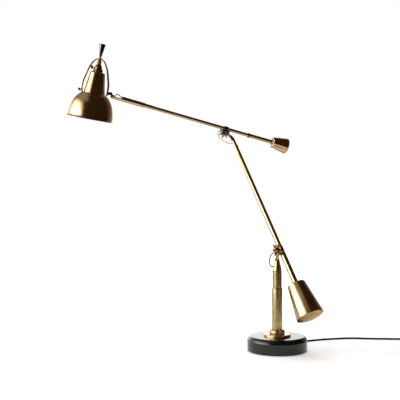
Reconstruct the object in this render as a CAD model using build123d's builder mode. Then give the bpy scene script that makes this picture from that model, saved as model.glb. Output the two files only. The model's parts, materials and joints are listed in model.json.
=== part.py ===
from build123d import *
import math
import os

# A desk lamp that balances on counterweights. Millimetres, +Z up, the origin
# in the middle of the base's underside. The lamp is modelled in its everyday
# pose: the head hangs out to -X and the two weights sit to +X.

# ---- base and column --------------------------------------------------------
BASE_R = 76.0
FELT_T = 1.5
FELT_R = 72.0
SIDE_TOP = 26.0            # where the straight side gives way to the shoulder
BASE_TOP = 38.5
BASE_TOP_R = 69.0
RECESS_R = 62.0            # underside recess that holds the ballast
RECESS_TOP = 24.0
FLANGE_R = 34.5
FLANGE_T = 5.0
BEAD_R = 19.5
BEAD_H = 11.0
SLEEVE_R = 12.9            # lower, fixed half of the column
SLEEVE_TOP = 160.0
SPIGOT_R = 7.95            # turns in the sleeve's bore
SPIGOT_LENGTH = 58.0
HEAD_R = 11.4              # upper half of the column, which swivels
TAPER_START = 205.0
TAPER_END = 243.0
TIP_R = 3.2
SCOOP_R = 22.0
RUN = 0.05                 # radial clearance of every turning fit
AIR = 0.05                 # gap between faces that slide on each other

# ---- the lower arm ----------------------------------------------------------
JOINT_Z = 256.0
SWIVEL = -51.6             # heading of the lower arm's weight, degrees from +X
LOWER_TILT = 32.9          # lower arm from the vertical
ARM_OFFSET = 14.0          # column axis to the lower arm's centre line
LOWER_TUBE_R = 6.2
LOWER_SLEEVE_R = 7.2
LOWER_REACH = 322.0        # joint to the seam under the swan neck
LOWER_WEIGHT_FAR = 187.0   # joint to the weight's wide end
LOWER_WEIGHT = (23.4, 35.2, 89.0)   # narrow radius, wide radius, length
CHEEK_R = 14.0
BOLT_R = 3.0

# ---- the swan neck and the upper arm ---------------------------------------
UPPER_JOINT = (-125.0, 152.0, 577.5)
UPPER_HEADING = 22.29      # heading of the upper arm's weight, degrees from +X
UPPER_DROP = 12.87         # slope of the upper arm down to its weight
UPPER_ROLL = -30.0         # upper hinge axis, turned about the arm from straight down
NECK_ENTRY = 220.0         # how the neck runs into its cheek, degrees from the arm
NECK_R = 5.9
NECK_END_R = 3.3
UPPER_TUBE_R = 4.8
REAR_SLEEVE_R = 5.5
REAR_RING_AT = 71.0
UPPER_WEIGHT_FAR = 188.0
UPPER_WEIGHT = (14.5, 21.5, 44.0)
UPPER_CHEEK_R = 13.0
UPPER_BOLT_R = 2.5

# ---- the head ---------------------------------------------------------------
HEAD_REACH = 335.8         # upper joint to the tilt hinge, along the arm
HEAD_RISE = 4.4            # tilt hinge above the arm's centre line
HEAD_TWIST = 9.4           # twist of the head sleeve at rest
HEAD_TILT = -4.84          # shade axis from square to the arm
PIVOT_OUT = 42.5           # tilt hinge from the shade's axis
PIVOT_UP = 72.6            # tilt hinge above the shade's rim
TWIST_R = 6.5
TONGUE_START = 304.5
SLEEVE_START = 240.3
SHADE_WALL = 0.9
CORD_R = 2.5
WIRE_R = 1.1

os.makedirs("parts", exist_ok=True)


def save(builder: BuildPart, name: str):
    """Label a finished piece and write it to its own file."""
    builder.part.label = name
    export_step(builder.part, f"parts/{name}.step")


def along(origin, *steps):
    """A point reached from origin by (direction, distance) steps."""
    point = Vector(origin)
    for direction, distance in steps:
        point = point + direction * distance
    return point


def lathe_plane(origin, axis, radial):
    """A plane whose local X runs out along radial and whose local Y is the axis."""
    return Plane(origin=origin, x_dir=radial, z_dir=radial.cross(axis))


def dome_middle(radius, rise):
    """The middle of the arc from (radius, 0) to the top of a dome, (0, rise)."""
    ball = (radius ** 2 + rise ** 2) / (2 * rise)
    half = math.asin(radius / ball) / 2
    return ball * math.sin(half), rise - ball * (1 - math.cos(half))


def turn(plane: Plane, outline, mode=Mode.ADD):
    """Revolve a closed (radius, height) outline about the plane's own Y line."""
    with BuildSketch(plane) as half:
        with BuildLine():
            Polyline(*outline, close=True)
        make_face()
    revolve(half.sketch, axis=Axis(plane.origin, plane.y_dir), mode=mode)


def rod(plane: Plane, radius, start, end, mode=Mode.ADD, bore=0.0):
    """A cylinder, or a tube, along the plane's normal from start to end."""
    with BuildSketch(plane.offset(start)) as section:
        Circle(radius)
        if bore:
            Circle(bore, mode=Mode.SUBTRACT)
    extrude(section.sketch, amount=end - start, mode=mode)


# ---- frames of the lamp's joints -------------------------------------------
UP = Vector(0, 0, 1)
swivel_angle = math.radians(SWIVEL)
tilt_angle = math.radians(LOWER_TILT)
hinge_1 = Vector(math.sin(swivel_angle), -math.cos(swivel_angle), 0)
down_1 = Vector(
    math.sin(tilt_angle) * math.cos(swivel_angle),
    math.sin(tilt_angle) * math.sin(swivel_angle),
    -math.cos(tilt_angle),
)
side_1 = hinge_1.cross(down_1)
joint_1 = Vector(0, 0, JOINT_Z)
arm_1 = along(joint_1, (hinge_1, -ARM_OFFSET))
level_1 = Vector(math.cos(swivel_angle), math.sin(swivel_angle), 0)

drop_angle = math.radians(UPPER_DROP)
heading_angle = math.radians(UPPER_HEADING)
roll_angle = math.radians(UPPER_ROLL)
back_2 = Vector(
    math.cos(drop_angle) * math.cos(heading_angle),
    math.cos(drop_angle) * math.sin(heading_angle),
    -math.sin(drop_angle),
)
level_2 = Vector(math.sin(heading_angle), -math.cos(heading_angle), 0)
under_2 = back_2.cross(level_2)
hinge_2 = under_2 * math.cos(roll_angle) + level_2 * math.sin(roll_angle)
side_2 = hinge_2.cross(back_2)
joint_2 = Vector(*UPPER_JOINT)

twist_angle = math.radians(HEAD_TWIST)
lift_3 = under_2 * -math.cos(twist_angle) + level_2 * math.sin(twist_angle)
hinge_3 = back_2.cross(lift_3)
joint_3 = along(joint_2, (back_2, -HEAD_REACH), (lift_3, HEAD_RISE))
head_angle = math.radians(HEAD_TILT)
shade_axis = lift_3 * math.cos(head_angle) + back_2 * math.sin(head_angle)
shade_out = back_2 * math.cos(head_angle) - lift_3 * math.sin(head_angle)
rim = along(joint_3, (shade_axis, -PIVOT_UP), (shade_out, -PIVOT_OUT))

table = Plane.XY
hinge_plane_1 = Plane(origin=joint_1, x_dir=level_1, z_dir=hinge_1)
arm_plane_1 = Plane(origin=arm_1, x_dir=hinge_1, z_dir=down_1)
hinge_plane_2 = Plane(origin=joint_2, x_dir=back_2, z_dir=hinge_2)
arm_plane_2 = Plane(origin=joint_2, x_dir=hinge_2, z_dir=back_2)
hinge_plane_3 = Plane(origin=joint_3, x_dir=back_2, z_dir=hinge_3)
twist_plane = Plane(origin=joint_2, x_dir=lift_3, z_dir=back_2 * -1)
shade_plane = Plane(origin=rim, x_dir=shade_out, z_dir=shade_axis)
shade_side = lathe_plane(rim, shade_axis, shade_out)


# ---- base -------------------------------------------------------------------
with BuildPart() as felt:
    rod(table, FELT_R, 0, FELT_T, bore=14)
save(felt, "base_felt")

# the cord comes in at the back, level with the bush, and turns up in the middle
CORD_HEADING = 60.0
CORD_EXIT_Z = 11.0
cord_angle = math.radians(CORD_HEADING)
cord_out = Vector(math.cos(cord_angle), math.sin(cord_angle), 0)
exit_plane = Plane(origin=(0, 0, CORD_EXIT_Z), x_dir=UP, z_dir=cord_out)
BUSH_SEAT_R = 4.6
COLUMN_BORE = 5.1

with BuildPart() as block:
    with BuildSketch(Plane.XZ):
        with BuildLine():
            Polyline((COLUMN_BORE, RECESS_TOP), (RECESS_R, RECESS_TOP), (RECESS_R, FELT_T),
                     (BASE_R - 1, FELT_T), (BASE_R, FELT_T + 1), (BASE_R, SIDE_TOP))
            ThreePointArc((BASE_R, SIDE_TOP), (BASE_R - 2.0, SIDE_TOP + 7.5),
                          (BASE_TOP_R, BASE_TOP))
            Polyline((BASE_TOP_R, BASE_TOP), (COLUMN_BORE, BASE_TOP), (COLUMN_BORE, RECESS_TOP))
        make_face()
    revolve(axis=Axis.Z)
    rod(exit_plane, BUSH_SEAT_R, RECESS_R - 4, BASE_R + 4, mode=Mode.SUBTRACT)
save(block, "base_block")

with BuildPart() as ballast:
    rod(table, RECESS_R - 0.3, FELT_T + 0.1, RECESS_TOP - 0.1, bore=15)
    with BuildSketch(exit_plane.offset(10)):
        Rectangle(CORD_EXIT_Z * 2, 12)
    extrude(amount=RECESS_R, mode=Mode.SUBTRACT)
save(ballast, "ballast_disc")

FLANGE_TOP = BASE_TOP + FLANGE_T
with BuildPart() as flange:
    rod(table, FLANGE_R, BASE_TOP, FLANGE_TOP, bore=COLUMN_BORE)
    fillet(flange.edges().filter_by(GeomType.CIRCLE).group_by(Axis.Z)[-1].sort_by(
        SortBy.RADIUS)[-1], radius=1.6)
save(flange, "column_flange")

with BuildPart() as bead:
    with BuildSketch(Plane.XZ):
        with BuildLine():
            Polyline((BEAD_R - 3, FLANGE_TOP + BEAD_H), (SLEEVE_R + 0.05, FLANGE_TOP + BEAD_H),
                     (SLEEVE_R + 0.05, FLANGE_TOP), (BEAD_R - 1.5, FLANGE_TOP))
            ThreePointArc((BEAD_R - 1.5, FLANGE_TOP), (BEAD_R, FLANGE_TOP + 0.42 * BEAD_H),
                          (BEAD_R - 3, FLANGE_TOP + BEAD_H))
        make_face()
    revolve(axis=Axis.Z)
save(bead, "column_foot_bead")

SPIGOT_END = SLEEVE_TOP - SPIGOT_LENGTH
with BuildPart() as sleeve:
    rod(table, SLEEVE_R, FLANGE_TOP, SLEEVE_TOP)
    chamfer(sleeve.edges().group_by(Axis.Z)[-1], length=0.6)
    rod(table, SPIGOT_R + RUN, SPIGOT_END - 2, SLEEVE_TOP, mode=Mode.SUBTRACT)
    rod(table, COLUMN_BORE, FLANGE_TOP, FLANGE_TOP + 22, mode=Mode.SUBTRACT)
    rod(table, 4.0, FLANGE_TOP, SLEEVE_TOP, mode=Mode.SUBTRACT)
    rod(Plane(origin=(0, 0, 132), x_dir=UP, z_dir=(0, 1, 0)), 2.05, 5, 15, mode=Mode.SUBTRACT)
save(sleeve, "column_sleeve")

TIE_TOP = FLANGE_TOP + 20
with BuildPart() as tie:
    rod(table, COLUMN_BORE - 0.1, 9, TIE_TOP, bore=3.6)
save(tie, "tie_tube")

with BuildPart() as tie_nut:
    with BuildSketch(table.offset(14)):
        RegularPolygon(radius=9.5, side_count=6)
    extrude(amount=7)
    rod(table, 13, 20.1, RECESS_TOP - 0.1)
    rod(table, COLUMN_BORE, 10, RECESS_TOP, mode=Mode.SUBTRACT)
save(tie_nut, "tie_nut")

GROOVE_Z = 132.0
with BuildPart() as grub:
    rod(Plane(origin=(0, 0, GROOVE_Z), x_dir=UP, z_dir=(0, 1, 0)), 2.0, SPIGOT_R - 1.1, 12.2)
save(grub, "swivel_grub_screw")


# ---- column head ------------------------------------------------------------
BLADE = (-3.35, 0.15)      # the fixed cheek's two faces, along the hinge
WIRE_HOLE_Z = 213.0
wire_side = Vector(-0.95, 0.31, 0)
CHEEK_STEM_W = 7.0

with BuildPart() as head_post:
    turn(Plane.XZ, [(0, SPIGOT_END), (SPIGOT_R, SPIGOT_END), (SPIGOT_R, SLEEVE_TOP + AIR),
                    (HEAD_R - 0.5, SLEEVE_TOP + AIR), (HEAD_R, SLEEVE_TOP + 0.6),
                    (HEAD_R, TAPER_START), (TIP_R, TAPER_END), (0, TAPER_END)])
    # groove for the grub screw, and the bore that the flex comes up
    rod(table, SPIGOT_R + 1, GROOVE_Z - 2.3, GROOVE_Z + 2.3, bore=SPIGOT_R - 1.2,
        mode=Mode.SUBTRACT)
    rod(table, 3.4, SPIGOT_END, WIRE_HOLE_Z + 2, mode=Mode.SUBTRACT)
    rod(Plane(origin=(0, 0, WIRE_HOLE_Z), x_dir=UP, z_dir=wire_side), 1.9, 2, 15,
        mode=Mode.SUBTRACT)
    # scoop that the wing nut turns in
    rod(Plane(origin=along((0, 0, TAPER_END), (hinge_1, SCOOP_R + BLADE[1])), x_dir=UP,
              z_dir=level_1), SCOOP_R, -30, 30, mode=Mode.SUBTRACT)
    # slot for the cheek's stem
    with BuildSketch(hinge_plane_1.offset(BLADE[0])):
        with Locations((0, TAPER_END - JOINT_Z)):
            Rectangle(CHEEK_STEM_W, 24)
    extrude(amount=BLADE[1] - BLADE[0] + SCOOP_R, mode=Mode.SUBTRACT)
save(head_post, "column_head")

with BuildPart() as fixed_cheek:
    with BuildSketch(hinge_plane_1.offset(BLADE[0])):
        Circle(CHEEK_R)
        with Locations((0, (TAPER_END - 12 - JOINT_Z) / 2)):
            Rectangle(CHEEK_STEM_W - 0.1, JOINT_Z - TAPER_END + 12)
        Circle(BOLT_R + RUN, mode=Mode.SUBTRACT)
    extrude(amount=BLADE[1] - BLADE[0])
save(fixed_cheek, "column_cheek")

with BuildPart() as grommet_1:
    with BuildSketch(Plane(origin=along((0, 0, WIRE_HOLE_Z), (wire_side, 9.6)), x_dir=UP,
                           z_dir=wire_side)):
        Circle(1.85)
        Circle(WIRE_R + 0.05, mode=Mode.SUBTRACT)
    extrude(amount=2.6)
save(grommet_1, "column_wire_bush")


# ---- lower arm --------------------------------------------------------------
WASHER_1 = (BLADE[0] - 1.05, BLADE[0] - AIR)
SADDLE_1 = (WASHER_1[0] - 4.8, WASHER_1[0])
BOLT_HEAD_1 = (-ARM_OFFSET + LOWER_SLEEVE_R + 0.2, -4.9)
DISH_1 = (BLADE[1] + AIR, BLADE[1] + AIR + 1.0)
NUT_1 = DISH_1[1] + AIR
BOLT_END_1 = 13.5

with BuildPart() as lower_tube:
    rod(arm_plane_1, LOWER_TUBE_R, -LOWER_REACH, 30, bore=4.6)
save(lower_tube, "lower_arm_tube")

weight_start_1 = LOWER_WEIGHT_FAR - LOWER_WEIGHT[2]
with BuildPart() as lower_sleeve:
    rod(arm_plane_1, LOWER_SLEEVE_R, -12, LOWER_WEIGHT_FAR - 8, bore=LOWER_TUBE_R + 0.05)
    chamfer(lower_sleeve.edges().sort_by(Axis(arm_1, down_1))[0:2].sort_by(
        SortBy.RADIUS)[-1], length=0.6)
save(lower_sleeve, "lower_arm_sleeve")

with BuildPart() as saddle_1:
    rod(hinge_plane_1, CHEEK_R, SADDLE_1[0], SADDLE_1[1])
    with BuildSketch(Plane(origin=arm_1, x_dir=down_1, z_dir=hinge_1)):
        RectangleRounded(22, 19, 3)
    extrude(amount=ARM_OFFSET + SADDLE_1[0] + 0.5)
    rod(arm_plane_1, LOWER_SLEEVE_R + 0.05, -30, 30, mode=Mode.SUBTRACT)
    rod(hinge_plane_1, BOLT_R + 0.1, -ARM_OFFSET, 0, mode=Mode.SUBTRACT)
    rod(hinge_plane_1, 4.7, -ARM_OFFSET, BOLT_HEAD_1[1], mode=Mode.SUBTRACT)
save(saddle_1, "lower_saddle")

with BuildPart() as washers_1:
    rod(hinge_plane_1, CHEEK_R - 2, WASHER_1[0], WASHER_1[1], bore=BOLT_R + 0.1)
    rod(hinge_plane_1, 7.0, DISH_1[0], DISH_1[1], bore=BOLT_R + 0.1)
save(washers_1, "lower_washers")

with BuildPart() as bolt_1:
    rod(hinge_plane_1, 4.6, BOLT_HEAD_1[0], BOLT_HEAD_1[1])
    rod(hinge_plane_1, BOLT_R, BOLT_HEAD_1[1], BOLT_END_1)
    chamfer(bolt_1.faces().sort_by(Axis(joint_1, hinge_1))[-1].edges(), length=0.7)
save(bolt_1, "lower_pivot_bolt")


def weight_shell(plane: Plane, start, narrow, wide, length, bore, wall=1.5):
    """A hollow truncated cone, open at its wide end."""
    with BuildPart() as shell:
        outline = lathe_plane(along(plane.origin, (plane.z_dir, start)), plane.z_dir,
                              plane.x_dir)
        turn(outline, [(bore, 0), (narrow - 2.5, 0), (narrow - 0.7, 0.7), (narrow, 2.4),
                       (wide, length), (wide - wall, length), (narrow - wall, 3.0),
                       (narrow - 2.5, wall), (bore, wall)])
    return shell


def weight_core(plane: Plane, start, narrow, wide, length, bore, wall=1.5):
    """The lead poured inside a weight."""
    with BuildPart() as core:
        outline = lathe_plane(along(plane.origin, (plane.z_dir, start)), plane.z_dir,
                              plane.x_dir)
        slack = wall + 0.1
        turn(outline, [(bore, wall + 0.2), (narrow - 3, wall + 0.2), (narrow - slack, 3.4),
                       (wide - slack - 0.2, length - 0.8), (bore, length - 0.8)])
    return core


def weight_cap(plane: Plane, far, wide, dome, wall=1.5):
    """The domed disc that closes a weight's wide end."""
    with BuildPart() as cap:
        outline = lathe_plane(along(plane.origin, (plane.z_dir, far)), plane.z_dir, plane.x_dir)
        with BuildSketch(outline):
            with BuildLine():
                middle = dome_middle(wide, dome - 1.2)
                Polyline((0, dome), (0, -0.6), (wide - wall - 0.2, -0.6),
                         (wide - wall - 0.2, 0), (wide, 0), (wide, 1.2))
                ThreePointArc((wide, 1.2), (middle[0], middle[1] + 1.2), (0, dome))
            make_face()
        revolve(axis=Axis(outline.origin, outline.y_dir))
    return cap


narrow_1, wide_1, length_1 = LOWER_WEIGHT
save(weight_shell(arm_plane_1, weight_start_1, narrow_1, wide_1, length_1,
                  LOWER_SLEEVE_R + 0.05), "lower_weight")
save(weight_core(arm_plane_1, weight_start_1, narrow_1, wide_1, length_1,
                 LOWER_SLEEVE_R + 0.1), "lower_weight_lead")
save(weight_cap(arm_plane_1, LOWER_WEIGHT_FAR, wide_1, 9.0), "lower_weight_cap")


def wing_nut(plane: Plane, seat, hub, height, span, bore, lean):
    """A cast wing nut standing on seat; lean turns its wings about its axis."""
    radial = plane.x_dir * math.cos(math.radians(lean)) + plane.y_dir * math.sin(
        math.radians(lean))
    axis = plane.z_dir
    wing_side = lathe_plane(along(plane.origin, (axis, seat)), axis, radial)
    with BuildPart() as nut:
        turn(wing_side, [(0, 0), (hub, 0), (hub, 1.2), (hub * 0.74, height), (0, height)])
        with BuildSketch(wing_side) as wings:
            with BuildLine():
                Polyline((0, 2.2), (hub, 2.0), (span * 0.72, height * 0.52),
                         (span, height * 1.05), (span * 0.86, height * 1.42),
                         (span * 0.62, height * 1.3), (hub * 0.9, height * 0.9),
                         (0, height * 0.9), close=True)
            make_face()
            fillet(wings.vertices().sort_by(Axis.X)[-3:], radius=1.4)
            mirror(about=Plane.YZ)
        extrude(wings.sketch, amount=1.1, both=True)
        rod(plane, bore, seat - 1, seat + 2 * height, mode=Mode.SUBTRACT)
    return nut


NUT_1_LEAN = 103.0
nut_1 = wing_nut(hinge_plane_1, NUT_1, 6.5, 9.0, 15.0, BOLT_R + RUN, NUT_1_LEAN)
save(nut_1, "lower_wing_nut")


def flex_piece(points, radii, name, radius=WIRE_R):
    """A thin flex on straight runs joined by tangent arcs."""
    with BuildPart() as flex:
        with BuildLine() as route:
            FilletPolyline(*points, radius=radii)
        with BuildSketch(Plane(origin=route.line @ 0, z_dir=route.line % 0)):
            Circle(radius)
        sweep()
    save(flex, name)


# flex from the column to the rim of the saddle
saddle_middle_1 = along(joint_1, (hinge_1, sum(SADDLE_1) / 2))
rim_side_1 = level_1 * -0.94 + UP * -0.3412
flex_start_1 = along((0, 0, WIRE_HOLE_Z), (wire_side, 9.8))
flex_1 = [flex_start_1, along(flex_start_1, (wire_side, 6.6)), (-19.5, 6.5, 224.0),
          (-17.5, 10.5, 239.0), along(saddle_middle_1, (rim_side_1, CHEEK_R + 8)),
          along(saddle_middle_1, (rim_side_1, CHEEK_R + 0.1))]
flex_piece(flex_1, [4.5, 12.0, 12.0, 7.0], "lower_flex")


# ---- swan neck --------------------------------------------------------------
SADDLE_2 = (3.2, 8.7)
WASHER_2 = (SADDLE_2[1], SADDLE_2[1] + 0.95)
CHEEK_2 = (WASHER_2[1] + AIR, WASHER_2[1] + AIR + 4.5)
DISH_2 = (CHEEK_2[1] + AIR, CHEEK_2[1] + AIR + 1.0)
NUT_2 = DISH_2[1] + AIR
BOLT_END_2 = 27.0
entry_angle = math.radians(NECK_ENTRY)
neck_in = back_2 * math.cos(entry_angle) + side_2 * math.sin(entry_angle)
neck_seam = along(arm_1, (down_1, -LOWER_REACH))
neck_corner = along(arm_1, (down_1, -LOWER_REACH - 17))
cheek_centre = along(joint_2, (hinge_2, sum(CHEEK_2) / 2))
neck_bend = along(cheek_centre, (neck_in, -25))
neck_end = along(cheek_centre, (neck_in, -8))

with BuildPart() as neck:
    with BuildLine() as neck_route:
        FilletPolyline(along(neck_seam, (down_1, -AIR)), neck_corner, neck_bend, neck_end,
                       radius=[36.0, 24.0])
    with BuildSketch(Plane(origin=neck_route.line @ 0, z_dir=neck_route.line % 0)):
        Circle(NECK_R)
    with BuildSketch(Plane(origin=neck_route.line @ 1, z_dir=neck_route.line % 1)):
        Circle(NECK_END_R)
    sweep(multisection=True)
    # the disc that the neck is brazed to takes the neck's very end
    rod(hinge_plane_2, UPPER_CHEEK_R + 0.02, CHEEK_2[0] - 6, CHEEK_2[1] + 6, mode=Mode.SUBTRACT)
    # collar at the seam, and the spigot that turns in the lower arm
    rod(arm_plane_1, LOWER_TUBE_R + 0.5, -LOWER_REACH - 4, -LOWER_REACH - AIR)
    rod(arm_plane_1, 4.6 - RUN, -LOWER_REACH - 2, -LOWER_REACH + 26)
    rod(arm_plane_1, 2.2, -LOWER_REACH - 10, -LOWER_REACH + 30, mode=Mode.SUBTRACT)
save(neck, "swan_neck")

with BuildPart() as neck_cheek:
    rod(hinge_plane_2, UPPER_CHEEK_R, CHEEK_2[0], CHEEK_2[1], bore=UPPER_BOLT_R + RUN)
save(neck_cheek, "neck_cheek")


# ---- upper arm --------------------------------------------------------------
weight_start_2 = UPPER_WEIGHT_FAR - UPPER_WEIGHT[2]
with BuildPart() as upper_tube:
    rod(arm_plane_2, UPPER_TUBE_R, -TONGUE_START + 12, UPPER_WEIGHT_FAR - 12, bore=3.4)
save(upper_tube, "upper_arm_tube")

with BuildPart() as rear_sleeve:
    rod(arm_plane_2, 6.9, REAR_RING_AT - 2.6, REAR_RING_AT)
    chamfer(rear_sleeve.edges(), length=0.5)
    rod(arm_plane_2, REAR_SLEEVE_R, REAR_RING_AT - 1, UPPER_WEIGHT_FAR - 8)
    rod(arm_plane_2, UPPER_TUBE_R + 0.05, 0, UPPER_WEIGHT_FAR, mode=Mode.SUBTRACT)
save(rear_sleeve, "rear_sleeve")

with BuildPart() as saddle_2:
    rod(hinge_plane_2, UPPER_CHEEK_R, SADDLE_2[0], SADDLE_2[1])
    rod(arm_plane_2, 7.0, -5.5, 5.5)
    rod(arm_plane_2, UPPER_TUBE_R + 0.05, -20, 20, mode=Mode.SUBTRACT)
    rod(hinge_plane_2, UPPER_BOLT_R + 0.1, 0, 10, mode=Mode.SUBTRACT)
    rod(hinge_plane_2, 3.7, 0, 6.4, mode=Mode.SUBTRACT)
save(saddle_2, "upper_saddle")

with BuildPart() as washers_2:
    rod(hinge_plane_2, UPPER_CHEEK_R - 2, WASHER_2[0], WASHER_2[1], bore=UPPER_BOLT_R + 0.1)
    rod(hinge_plane_2, 6.2, DISH_2[0], DISH_2[1], bore=UPPER_BOLT_R + 0.1)
save(washers_2, "upper_washers")

with BuildPart() as bolt_2:
    rod(hinge_plane_2, 3.6, 4.9, 6.4)
    rod(hinge_plane_2, UPPER_BOLT_R, 6.4, BOLT_END_2)
    chamfer(bolt_2.faces().sort_by(Axis(joint_2, hinge_2))[-1].edges(), length=0.6)
save(bolt_2, "upper_pivot_bolt")

narrow_2, wide_2, length_2 = UPPER_WEIGHT
save(weight_shell(arm_plane_2, weight_start_2, narrow_2, wide_2, length_2,
                  REAR_SLEEVE_R + 0.05), "upper_weight")
save(weight_core(arm_plane_2, weight_start_2, narrow_2, wide_2, length_2,
                 REAR_SLEEVE_R + 0.1), "upper_weight_lead")
save(weight_cap(arm_plane_2, UPPER_WEIGHT_FAR, wide_2, 5.2), "upper_weight_cap")

NUT_2_LEAN = 12.0
nut_2 = wing_nut(hinge_plane_2, NUT_2, 5.6, 7.0, 13.0, UPPER_BOLT_R + RUN, NUT_2_LEAN)
save(nut_2, "upper_wing_nut")

# flex from the side of the swan neck to the underside of the upper arm
flex_start_2 = along(neck_seam, (down_1, -14), (level_1, -NECK_R + 0.7))
flex_2 = [along(flex_start_2, (level_1, -0.6)), (-113.5, 152.5, 537.0), (-123.0, 148.0, 538.5),
          (-136.0, 144.0, 546.0), (-148.0, 143.5, 557.0), (-147.5, 143.5, 569.0),
          along(joint_2, (back_2, -14), (lift_3, -UPPER_TUBE_R - WIRE_R - 0.1))]
flex_piece(flex_2, [5.0, 10.0, 12.0, 8.0, 6.0], "upper_flex", radius=0.9)


# ---- head sleeve ------------------------------------------------------------
with BuildPart() as twist_collar:
    rod(arm_plane_2, 5.4, -SLEEVE_START + 0.2, -SLEEVE_START + 27, bore=UPPER_TUBE_R + 0.05)
save(twist_collar, "twist_collar")

EAR_T = 3.0
EAR_R = 3.6
TONGUE_END = HEAD_REACH - 6
BUSH_AT = HEAD_REACH - 13.5
with BuildPart() as head_sleeve:
    rod(twist_plane, TWIST_R, SLEEVE_START, TONGUE_END)
    rod(twist_plane, UPPER_TUBE_R + RUN, SLEEVE_START - 1, BUSH_AT - 5, mode=Mode.SUBTRACT)
    # the far end is cut down to a half-round tongue
    with BuildSketch(twist_plane.offset(TONGUE_START)):
        with Locations((TWIST_R, 0)):
            Rectangle(2 * TWIST_R - 0.6, 4 * TWIST_R)
    extrude(amount=HEAD_REACH, mode=Mode.SUBTRACT)
    # upright ear for the tilt screw
    with BuildSketch(hinge_plane_3.offset(-EAR_T / 2)):
        Circle(EAR_R)
        with Locations((6.3, -HEAD_RISE - 0.6)):
            Rectangle(8.6, 9.0)
        Circle(1.5 + RUN, mode=Mode.SUBTRACT)
    extrude(amount=EAR_T)
    rod(Plane(origin=along(joint_2, (back_2, -BUSH_AT)), x_dir=back_2, z_dir=lift_3), 1.95,
        -9, 3, mode=Mode.SUBTRACT)
save(head_sleeve, "head_sleeve")

# flex from the sleeve's mouth over to its bush in the tongue
flex_start_3 = along(joint_2, (back_2, -TONGUE_START + 9), (lift_3, 2.9))
bush_3 = along(joint_2, (back_2, -BUSH_AT), (lift_3, 0.35))
flex_3 = [flex_start_3, along(flex_start_3, (back_2, -11)),
          along(joint_2, (back_2, -TONGUE_START - 9), (lift_3, 8.6)),
          along(bush_3, (lift_3, 6.5)), along(bush_3, (lift_3, -1.5))]
flex_piece(flex_3, [6.0, 4.5, 4.0], "head_flex")

with BuildPart() as tongue_bush:
    bush_plane = Plane(origin=bush_3, x_dir=back_2, z_dir=lift_3)
    rod(bush_plane, 2.5, 0, 1.0)
    rod(bush_plane, 1.9, -4.6, 0)
    rod(bush_plane, WIRE_R + 0.05, -1.6, 1.0, mode=Mode.SUBTRACT)
save(tongue_bush, "tongue_wire_bush")

with BuildPart() as tilt_screw:
    rod(hinge_plane_3, 4.2, EAR_T / 2 + AIR, EAR_T / 2 + 4.6)
    chamfer(tilt_screw.edges(), length=0.5)
    rod(hinge_plane_3, 1.5, -7.4, EAR_T / 2 + 2)
save(tilt_screw, "tilt_screw")


# ---- head -------------------------------------------------------------------
EYE = (-4.6, -EAR_T / 2 - AIR)
SHOULDER = 64.4
NECK_LOW_R = 28.0
NECK_TOP_R = 20.0
NECK_TOP = 120.5
HOLDER_R = 7.1             # hole in the neck's top for the lampholder's thread

with BuildPart() as bell:
    with BuildSketch(shade_side):
        with BuildLine():
            ThreePointArc((63.0, 0.0), (60.6, 1.6), (59.0, 4.0))
            ThreePointArc((59.0, 4.0), (57.3, 21.5), (53.3, 37.5))
            ThreePointArc((53.3, 37.5), (48.6, 47.7), (41.5, 56.6))
            ThreePointArc((41.5, 56.6), (37.2, 61.0), (31.0, SHOULDER))
            Line((31.0, SHOULDER), (NECK_LOW_R, SHOULDER))
            offset(amount=SHADE_WALL, side=Side.LEFT)
        make_face()
    revolve(axis=Axis(rim, shade_axis))
save(bell, "shade_bell")

with BuildPart() as shade_neck:
    with BuildSketch(shade_side):
        with BuildLine():
            Polyline((HOLDER_R, NECK_TOP - SHADE_WALL), (HOLDER_R, NECK_TOP),
                     (NECK_TOP_R - 4.6, NECK_TOP))
            ThreePointArc((NECK_TOP_R - 4.6, NECK_TOP), (NECK_TOP_R - 1.5, NECK_TOP - 1.4),
                          (NECK_TOP_R, NECK_TOP - 4.5))
            Polyline((NECK_TOP_R, NECK_TOP - 4.5), (NECK_LOW_R, SHOULDER + 0.05 + SHADE_WALL),
                     (NECK_LOW_R + 0.6, SHOULDER + 0.05 + SHADE_WALL),
                     (NECK_LOW_R + 0.6, SHOULDER + 0.05),
                     (NECK_LOW_R - SHADE_WALL, SHOULDER + 0.05),
                     (NECK_TOP_R - SHADE_WALL, NECK_TOP - 4.5))
            ThreePointArc((NECK_TOP_R - SHADE_WALL, NECK_TOP - 4.5),
                          (NECK_TOP_R - 2.15, NECK_TOP - 2.1),
                          (NECK_TOP_R - 4.6, NECK_TOP - SHADE_WALL))
            Line((NECK_TOP_R - 4.6, NECK_TOP - SHADE_WALL), (HOLDER_R, NECK_TOP - SHADE_WALL))
        make_face()
    revolve(axis=Axis(rim, shade_axis))
save(shade_neck, "shade_neck")

STRAP_T = 2.0
STRAP_W = 8.0
LEG_X = 34.0
LEG_FOOT = 65.6
LEG_STRAIGHT = 74.0
BAIL_TOP = 153.5
BAIL_SCREW_UP = 69.2


def on_shade(out, up):
    """A point in the plane of the bail, out from the shade's axis and up from its rim."""
    return along(rim, (shade_out, out), (shade_axis, up))


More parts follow.
